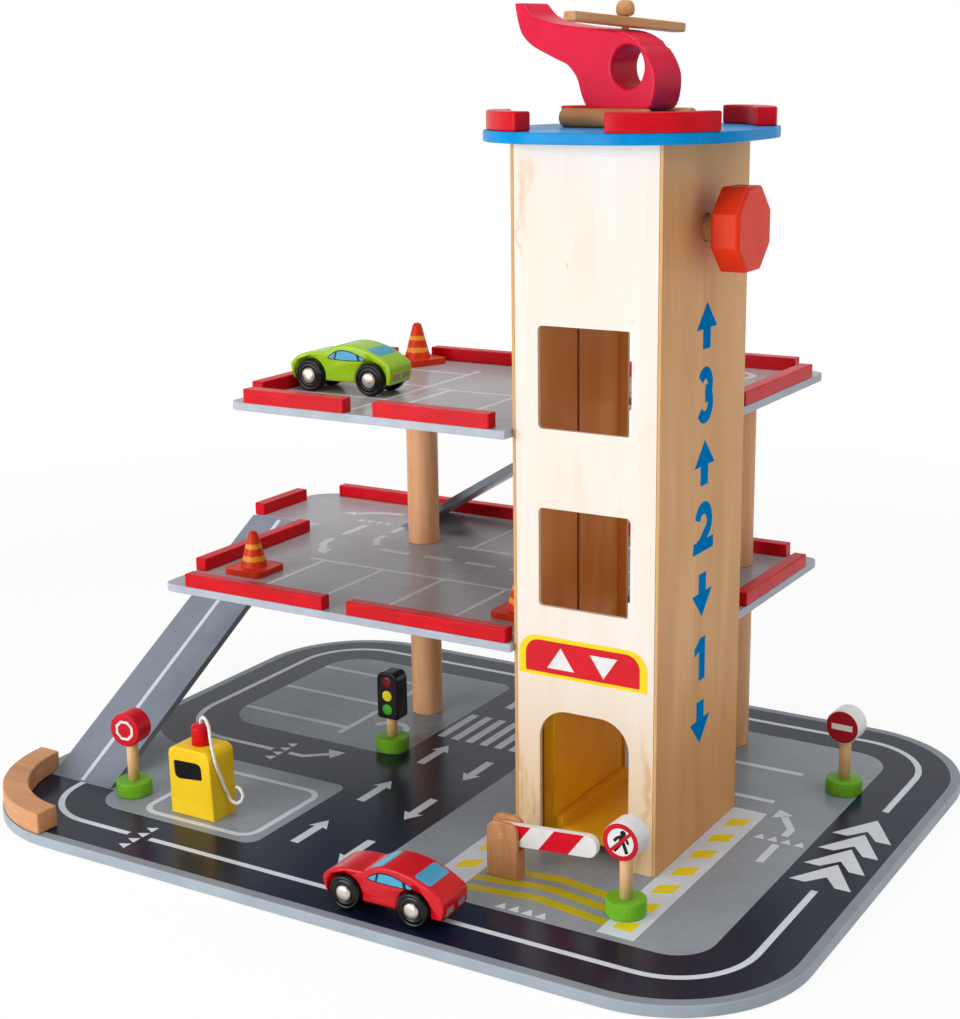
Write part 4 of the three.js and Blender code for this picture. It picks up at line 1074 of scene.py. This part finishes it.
def printCar(name, turn, length):
    s, p = carSet, carPlaces[name]
    edge, body = s["edge"], f"{name}_car"
    nose, sill = -p["ahead"] + edge, s["bottom"] + edge
    top = [Vector((nose + along * (length - 2 * edge), sill + up * (s["height"] - 2 * edge)))
           for along, up in carShares][3:-3]

    def onRoof(run, y, h):
        # run is a length along the car; the height follows the roof's profile
        for a, b in zip(top, top[1:]):
            if run <= b.x:
                break
        share = (run - a.x) / max(1e-6, b.x - a.x)
        out = Vector((a.y - b.y, b.x - a.x)).normalized()
        point = a.lerp(b, share) + out * (edge + s["off"] + h)
        return turn @ (Vector((point.x, y, point.y)) / 1000)

    pane = s["pane"]
    for part, shares in (("Screen", s["screen"]), ("RearWindow", s["rearWindow"])):
        x0, x1 = (-p["ahead"] + length * share for share in shares)
        cuts = [((v.x, -pane), (v.x, pane)) for v in top if x0 + 0.3 < v.x < x1 - 0.3]
        sheetPiece(f"{name}Car{part}", printed("glass", box(x0, -pane, x1, pane, s["paneCorner"])), onRoof,
                   s["print"], body, "blue_paint", cuts=cuts)
    # side windows: a black outline, the pane shrunk towards its middle, and the dark bars
    k = (length - 2 * edge) / s["drawnLength"]
    outer = [(-p["ahead"] + x * k + s["windowX"] * k, z) for x, z in windowOutline]
    middle = Vector((sum(x for x, _ in outer) / len(outer), sum(z for _, z in outer) / len(outer)))
    inner = [(middle.x + (Vector(spot) - middle).x * 0.925, middle.y + (Vector(spot) - middle).y * 0.8)
             for spot in outer]
    dark = [clipped([(-p["ahead"] + x * k, z) for x, z in bar], outer) for bar in windowBars]
    layers = printed("trim", outer) + printed("glass", inner) + printed("trim", *dark)
    for hand, word in ((-1, "Left"), (1, "Right")):
        side = onGroup(turn, lambda x, z, h, hand=hand: (x, hand * (s["width"] / 2 + s["off"] + h), z))
        piece = sheetPiece(f"{name}CarWindows{word}", layers, side, s["print"], body, "blue_paint")
        if hand > 0:
            piece.data.flip_normals()
    # two lamps printed on the tail
    tail = -p["ahead"] + length
    onTail = onGroup(turn, lambda y, z, h: (tail + s["off"] + h, y, z))
    for y, word in ((-6.4, "L"), (6.4, "R")):
        lamp = printed("lampPrint", box(y - 3.9, 11.2, y + 3.9, 15.0, 0.5))
        sheetPiece(f"{name}CarLamp{word}", lamp, onTail, s["lampPrint"], body, "sign_face")


def makeWheels(name, turn, end, x):
    # tyres with a raised shoulder, domed hub nails and the axle between them
    s = carSet
    r, t, half = s["wheel"] / 2, s["tread"], s["width"] / 2
    tyre = [(0, 0), (2, 0), (r - 1.4, 0), (r - 0.5, 0.35), (r, 1.3), (r, t - 1.5), (r - 0.35, t - 0.7),
            (r - 1.2, t - 0.1), (r - 2.2, t), (r - 2.5, t - 0.35), (r - 2.9, t - 0.35), (r - 3.2, t),
            (5.9, t), (5.7, t - 0.4), (5.4, t - 0.4), (0, t - 0.4)]
    hub = [(0, t - 0.6), (5.3, t - 0.6), (5.3, t), (5.15, t + 0.45), (4.6, t + 0.95), (3.6, t + 1.3),
           (2.2, t + 1.48), (0, t + 1.5)]
    body = f"{name}_{end}_wheels"
    for hand, side, word in ((-1, "L", "TyreNear"), (1, "R", "TyreFar")):
        place = turn @ move(x, hand * (half + s["proud"] - t), r) @ spin(-hand * 90, "X")
        piece = turnedPiece(f"{name}{end.title()}{word}", tyre, body, "tyre", 48, place)
        turnedPiece(f"{name}Hub{end}{side}", hub, body, "hub", 40, place)
        if hand < 0:
            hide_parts(f"{name}_car_wheels_{end}")
    bar = [(0, 0), (2, 0), (2, s["width"]), (0, s["width"])]
    place = turn @ move(x, -half, r) @ spin(-90, "X")
    turnedPiece(f"{name}{end.title()}Axle", bar, body, "tyre", 20, place)


def makeCars():
    s = carSet
    for name, p in carPlaces.items():
        turn = stand(p["x"], p["y"], p["z"], p["turn"])
        dress(f"{name}_car_body", p["finish"])
        printCar(name, turn, p["ahead"] + s["wheelbase"] + p["behind"])
        for end, x in (("front", 0.0), ("rear", s["wheelbase"])):
            makeWheels(name, turn, end, x)
    print("cars done")


# Signs and the traffic light share the green foot and the pole
signSet = {
    "foot": 25, "footHeight": 10.5, "footEdge": 1.1, "pole": 8, "disc": 24.1, "thick": 15.5, "off": 0.1,
    "print": 0.14,
    "places": {"stop": {"x": -276, "y": -58, "middle": 49.3, "turn": 7},
               "walker": {"x": 105, "y": -50.7, "middle": 49, "turn": -1.2},
               "entry": {"x": 156, "y": 186.6, "middle": 49.7, "turn": -2.4}},
}
lightSet = {"x": -163.1, "y": 99.6, "left": -8.2, "right": 9.8, "bottom": 25.5, "top": 61.5,
            "low": 2, "high": 5.6, "front": 7, "thick": 14, "soft": 1.1, "lampX": 0.8,
            "lamps": {"lampRed": 54.1, "lampYellow": 43.5, "lampGreen": 32.9}}
lensProfile = [(0, -0.5), (4.1, -0.5), (4.1, 0.05), (3.8, 0.24), (3.0, 0.36), (1.8, 0.42), (0, 0.44)]


def makeStand(name, body, turn, low, top):
    s = signSet
    r = s["pole"] / 2
    puck = roundedPuck(s["foot"], s["footHeight"], s["footEdge"])
    base = turnedPiece(f"{name}Foot", puck, body, "green", 48, turn)
    pole = [(0, low), (r, low), (r, top), (0, top)]
    turnedPiece(f"{name}Pole", pole, body, "naturalPoleLit", 32, turn)
    return base


def signLayers(name, r):
    if name == "stop":
        return (printed("signRed", circle(0, 0, r - 0.9, 48)) + printed("white", octagon(7.6))
                + printed("signRed", octagon(5.6)))
    if name == "entry":
        return printed("signDark", circle(0, 0, r - 0.7, 48)) + printed("white", box(-7.6, -2.1, 7.6, 2.1))
    # a walker: head, trunk, two arms and two legs, and the bar across
    figure = [circle(1.7, 5.9, 1.95, 20), [(-0.1, 4.5), (2.9, 4.1), (2.9, 0.0), (0.6, -1.1), (-1.3, 0.3)]]
    arms = [[(0.4, 3.8), (-2.5, 2.2), (-4.4, -0.1)], [(2.1, 3.6), (4.2, 1.9), (5.1, -0.4)]]
    legs = [[(0.5, 0.4), (-1.5, -2.9), (-4.4, -6.3)], [(1.6, 0.4), (3.0, -3.1), (4.3, -6.6)]]
    figure += [stroke(arm, 1.9) for arm in arms] + [stroke(leg, 2.4) for leg in legs]
    return (printed("signRed", circle(0, 0, r - 0.3, 48)) + printed("white", circle(0, 0, r - 3.4, 48))
            + printed("trim", *figure) + printed("signRed", stroke([(6.2, 6.2), (-6.2, -6.2)], 2.2)))


def makeSigns():
    s = signSet
    r = s["disc"] / 2
    for name, p in s["places"].items():
        turn = stand(p["x"], p["y"], 0.0, p["turn"])
        body = f"sign_{name}"
        base = makeStand(name, body, turn, s["footHeight"] - 0.4, p["middle"] - r + 5)
        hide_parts(f"sign_{name}_stand")
        dress(f"sign_{name}_disc", "signRed" if name == "stop" else "white")
        face = onGroup(turn, lambda x, z, h, p=p: (x, -s["thick"] / 2 - s["off"] - h, p["middle"] + z))
        sheetPiece(f"{name}Face", signLayers(name, r), face, s["print"], body, "sign_face")


def makeLight():
    s = lightSet
    x, front = s["x"], s["y"] - s["front"]
    base = makeStand("light", "traffic_light", stand(x, s["y"]), 10, s["bottom"] + 3)
    head = tab(s["left"], s["bottom"], s["right"], s["top"], s["low"], s["high"])
    sheetPiece("lightHead", [("black", head)], lambda px, z, h: at(x + px, front - h, z), s["thick"],
               "traffic_light", "black_paint", soft=s["soft"])
    for finish, z in s["lamps"].items():
        place = stand(x + s["lampX"], front, z) @ spin(90, "X")
        turnedPiece(finish, lensProfile, "traffic_light", finish, 32, place)
    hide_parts("traffic_light")


# Fuel pump and its hose
pumpSet = {"left": -230, "width": 35.5, "back": -46.5, "footDepth": 24, "topDepth": 26.5, "flare": 0.045,
           "height": 50, "corner": 6, "capX": -211.5, "capY": -59, "cap": 13.6, "capTop": 64, "soft": 1.1,
           "slab": 30, "off": 0.12, "print": 0.2}
hoseSet = {"diameter": 2.4, "loop": 5.4, "turnShare": 0.8, "drift": 3.6, "clear": 28, "seam": 0.3,
           "strands": 3, "pitch": 4.4, "sides": 18, "across": (1, 0, 0)}


def makePump():
    s = pumpSet
    right, top = s["left"] + s["width"], s["capTop"]

    def depthAt(z):
        # the front leans forward towards the top
        return s["footDepth"] + (s["topDepth"] - s["footDepth"]) * z / s["height"]

    def onSlab(x, z, h):
        spread = 1 + s["flare"] * (1 - z / s["height"])
        y = s["back"] - depthAt(z) * (1 + h / s["slab"])
        return at(right + (x - s["left"] - s["width"]) * spread, y, z)

    front = tab(s["left"], 0, right, s["height"], 0, s["corner"])
    body = sheetPiece("pumpBody", [("yellow", front)], onSlab, s["slab"], "pump", "yellow_paint",
                      soft=s["soft"])
    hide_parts("pump")
    window = rounded([(-225.4, 27.0, 4), (-202.0, 29.2, 1.2), (-202.0, 41.2, 4), (-225.4, 40.4, 1.6)])
    sheetPiece("pumpWindow", [("trim", window)],
               lambda x, z, h: at(x, s["back"] - depthAt(z) - s["off"] - h, z), s["print"], "pump",
               "black_paint")
    r, low = s["cap"] / 2, s["height"] - 1
    cap = [(0, low), (r, low), (r, top - 2.4), (r - 0.25, top - 1.3), (r - 1, top - 0.45), (r - 2.2, top),
           (0, top)]
    turnedPiece("pumpCap", cap, "pump", "red", 40, stand(s["capX"], s["capY"]))


def centripetal(points, samples):
    # a smooth run through points, in fine steps that are then spaced evenly
    fine = 40
    ends = [points[0] * 2 - points[1], *points, points[-1] * 2 - points[-2]]
    dense = []
    for i in range(len(points) - 1):
        p = ends[i:i + 4]
        a, b, c = (max((p[k + 1] - p[k]).length, 1e-9) ** 0.5 for k in range(3))
        m1 = (p[2] - p[1]) + b * ((p[1] - p[0]) / a - (p[2] - p[0]) / (a + b))
        m2 = (p[2] - p[1]) + b * ((p[3] - p[2]) / c - (p[3] - p[1]) / (b + c))
        for k in range(fine):
            t = k / fine
            dense.append(p[1] * (2 * t ** 3 - 3 * t ** 2 + 1) + m1 * (t ** 3 - 2 * t ** 2 + t)
                         + p[2] * (3 * t ** 2 - 2 * t ** 3) + m2 * (t ** 3 - t ** 2))
    dense.append(points[-1])
    total = [0.0]
    for a, b in zip(dense, dense[1:]):
        total.append(total[-1] + (b - a).length)
    made, k = [], 0
    for i in range(samples + 1):
        want = total[-1] * i / samples
        while k < len(dense) - 2 and total[k + 1] < want:
            k += 1
        span = total[k + 1] - total[k]
        made.append(dense[k].lerp(dense[k + 1], (want - total[k]) / span if span else 0))
    return made


def twistedTube(name, finish, route, s):
    # twisted strands, as one closed tube with a lobed section carried along the route
    radius, sides = s["diameter"] / 2000, s["sides"]
    made = bmesh.new()
    side = Vector(s["across"])
    run, rings = 0.0, []
    for i, point in enumerate(route):
        ahead = (route[min(i + 1, len(route) - 1)] - route[max(i - 1, 0)]).normalized()
        side = (side - ahead * side.dot(ahead)).normalized()
        over = ahead.cross(side)
        run += (point - route[i - 1]).length if i else 0.0
        twist = 2 * math.pi * run * 1000 / s["pitch"]
        ring = []
        for k in range(sides):
            angle = 2 * math.pi * k / sides
            reach = radius * (0.80 + 0.20 * abs(math.cos((angle * s["strands"] - twist) / 2)))
            ring.append(made.verts.new(point + (side * math.cos(angle) + over * math.sin(angle)) * reach))
        rings.append(ring)
    for low, high in zip(rings, rings[1:]):
        for (a, b), (c, d) in zip(pairs(low), pairs(high)):
            made.faces.new((a, b, d, c)).smooth = True
    made.faces.new(rings[0][::-1])
    made.faces.new(rings[-1])
    return meshFrom(name, made, [finish])


def makeHose():
    s, p = hoseSet, pumpSet
    d, seam, corner, drop = s["diameter"], s["seam"], p["corner"], s["loop"]
    x, y, top, high = p["capX"], p["capY"], p["capTop"], p["height"]
    right = p["left"] + p["width"] + d / 2 + seam
    front = p["back"] - s["clear"]
    start = (x, y, top + seam)
    # up out of the cap, over to the right side and down it
    guide = [start, (x, y, top + seam + d), (x + corner / 3, y - d / 3, top + 2.2 * d),
             (x + corner, y - d, top + 2.3 * d), (x + 1.7 * corner, y - 1.7 * d, top + d / 3),
             (right - corner * 0.7, y - 3.2 * d, high + 1.2 * corner),
             (right + d / 3, y - 4.2 * d, high - corner), (right + d / 6, front + 1.9 * corner, high * 0.6),
             (right + d / 6, front + 2.5 * corner, high * 0.42)]
    # the loop near the end
    middle = (right + drop, front + 3 * corner, high * 0.31)
    for i in range(10):
        angle = math.pi * 0.95 + 2 * math.pi * s["turnShare"] * i / 9
        guide.append((middle[0] + drop * math.cos(angle), middle[1] + s["drift"] * i / 9,
                      middle[2] + drop * math.sin(angle)))
    route = centripetal([at(*spot) for spot in guide], 220)
    route[0] = at(*start)
    cord = newPiece("pumpCord", twistedTube("pumpCord", "cord", route, s), "pump")
    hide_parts("pump_hose")


# The lift's twine: down the left groove from the shaft, under the cabin and up the right groove.
twineSet = {"diameter": 1.8, "y": 64, "shaftZ": 398, "shaft": 16, "seam": 0.3, "grooveX": 11.1, "inward": 10,
            "mirror": 100, "bendHigh": 386, "bendLow": 367, "low": 4.2, "strands": 3, "pitch": 3.2,
            "sides": 12, "across": (0, 1, 0), "travel": "lift_travel", "lift": 265}


def makeTwine():
    s = twineSet
    inner, outer, bend = s["grooveX"] + s["inward"], s["grooveX"], 2 * s["diameter"]
    top, high, low = s["shaftZ"] - s["shaft"] / 2 - s["seam"], s["bendHigh"], s["bendLow"]
    half = [(inner, top), (inner, high + bend), (inner - 0.4, high + 0.6), (inner - bend / 2, high - bend),
            (outer + bend / 2, low + 2 * bend), (outer + 0.4, low + 0.8), (outer, low - bend)]
    half += [(outer, low + (s["low"] + bend - low) * i / 8) for i in range(1, 9)]
    half += [(outer + 0.35, s["low"] + 1.9), (outer + 1.2, s["low"] + 0.7), (outer + bend, s["low"])]
    path = half + [(s["mirror"] - x, z) for x, z in reversed(half)]
    mesh = twistedTube("hoistTwine", "hoist", centripetal([at(x, s["y"], z) for x, z in path], 640), s)
    piece = newPiece("hoistTwine", mesh, "garage")
    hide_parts("hoist_cord")
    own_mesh(piece)


# The barrier's post: two cheeks and the block between them, with the pin's plug showing flush
postSet = {"left": 5.3, "right": 27.3, "front": -46.5, "depth": 10.9, "slot": 5.2, "slotBottom": 18.6,
           "height": 37, "rise": 2.2, "corner": 6.5, "soft": 0.8, "plug": 5}


def makeBarrierPost():
    s = postSet
    cheek = (s["depth"] - s["slot"]) / 2
    back = s["front"] + s["depth"]

    def part(name, high, corner, lift, thick, **rims):
        face = tab(s["left"], 0, s["right"], high, 0, corner, steps=8)
        return sheetPiece(name, [("beechPost", face)], lift, thick, "barrier", "beech", **rims)

    rims = {"soft": s["soft"], "under": False}
    front = part("barrierCheek", s["height"], s["corner"], onFront(s["front"]), cheek, **rims)
    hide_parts("barrier_post")
    part("barrierBlock", s["slotBottom"], 0, onFront(s["front"] + cheek), s["slot"])
    rear = part("barrierRearCheek", s["height"] + s["rise"], s["corner"],
                lambda x, z, h: at(x, back + h, z), cheek, **rims)
    rear.data.flip_normals()
    place = stand(barrierSet["pivotX"], s["front"] + cheek, barrierSet["pivotZ"]) @ spin(90, "X")
    r = s["plug"] / 2
    plug = [(0, 0), (r, 0), (r, cheek - 0.05), (r - 0.3, cheek + 0.12), (0, cheek + 0.15)]
    turnedPiece("barrierPlug", plug, "barrier", "endGrain", 24, place)


# Floor, world and lamps; show is how white the floor looks near the toy, and near and far are where it fades
studioSet = {"floor": 5.0, "floorSides": 96, "below": 0.0002, "floorColour": "#f4f4f3", "floorRough": 0.7,
             "show": 0.82, "glow": 1.04, "near": 0.75, "far": 1.7,
             "backdrop": 1.0, "ambient": 0.38, "low": 0.0, "high": 0.9, "ceiling": 0.12}
lampSet = {
    "key": {"place": (-800, -1720, 520), "aim": (0, 60, 180), "size": 1.3, "watts": 25},
    "overhead": {"place": (150, 150, 2000), "aim": (0, 60, 0), "size": 1.5, "watts": 15},
    "side": {"place": (1650, 250, 750), "aim": (0, 60, 200), "size": 1.2, "watts": 2},
}
plainWhite = (1, 1, 1, 1)


def makeFloor():
    s = studioSet
    made = bmesh.new()
    bmesh.ops.create_circle(made, cap_ends=True, radius=s["floor"], segments=s["floorSides"])
    floor = link(bpy.data.objects.new("floor", meshFrom("floor", made)))
    floor.location.z = boardLow.z - s["below"]
    material, tree, shader = newFinish("paleFloor", s["floorRough"])
    shader.inputs["Base Color"].default_value = linear(s["floorColour"])
    ray = add(tree, "ShaderNodeLightPath").outputs
    glow = add(tree, "ShaderNodeEmission", {"Color": plainWhite, "Strength": s["glow"]})
    seen = maths(tree, "MAXIMUM", ray["Is Camera Ray"], ray["Is Glossy Ray"])
    seen = maths(tree, "MAXIMUM", seen, ray["Is Transmission Ray"])
    # the floor's own light and shadow fade out away from the toy
    away = add(tree, "ShaderNodeVectorMath", {0: objectPoint(tree)}, operation="LENGTH").outputs["Value"]
    share = maths(tree, "MULTIPLY", seen, between(tree, away, s["near"], s["far"], s["show"], 1.0))
    mix = add(tree, "ShaderNodeMixShader", {0: share, 1: shader.outputs[0], 2: glow.outputs[0]})
    tree.links.new(mix.outputs[0], tree.nodes["Material Output"].inputs["Surface"])
    floor.data.materials.append(material)


def makeWorld():
    s = studioSet
    world = bpy.data.worlds.new("studio")
    bpy.context.scene.world = world
    world.use_nodes = True
    tree = world.node_tree
    lit = tree.nodes["Background"]
    lit.inputs["Color"].default_value = plainWhite
    lit.inputs["Strength"].default_value = s["ambient"]
    ray = add(tree, "ShaderNodeLightPath").outputs
    seen = add(tree, "ShaderNodeBackground", {"Color": plainWhite, "Strength": s["backdrop"]})
    # mirrored rays see the same backdrop low down, and the dimmer room above it
    height = axisOf(tree, add(tree, "ShaderNodeTexCoord").outputs["Generated"], "Z")
    level = between(tree, height, s["low"], s["high"], s["backdrop"], s["ceiling"])
    mirrored = add(tree, "ShaderNodeBackground", {"Color": plainWhite, "Strength": level})
    either = maths(tree, "MAXIMUM", ray["Is Glossy Ray"], ray["Is Transmission Ray"])
    first = add(tree, "ShaderNodeMixShader", {0: either, 1: lit.outputs[0], 2: mirrored.outputs[0]})
    mix = add(tree, "ShaderNodeMixShader", {0: ray["Is Camera Ray"], 1: first.outputs[0], 2: seen.outputs[0]})
    tree.links.new(mix.outputs[0], tree.nodes["World Output"].inputs["Surface"])


def makeLamps():
    for name, s in lampSet.items():
        lamp = link(bpy.data.objects.new(name, bpy.data.lights.new(name, "AREA")))
        lamp.data.shape = "DISK"
        lamp.data.size = s["size"]
        lamp.data.energy = s["watts"]
        lamp.location = at(*s["place"])
        lamp.rotation_euler = (at(*s["aim"]) - lamp.location).to_track_quat("-Z", "Y").to_euler()


makeCamera()
makeStreets()
makeDecks()
dressNodes()
makePad()
makePlate()
makeColumn()
makeHelicopter()
makeCars()
makeBarrierPost()
makeSigns()
makeLight()
makePump()
makeHose()
makeTwine()
print("street furniture done")
makeFloor()
makeWorld()
makeLamps()
bpy.context.scene.view_settings.view_transform = "Standard"
print("studio set")
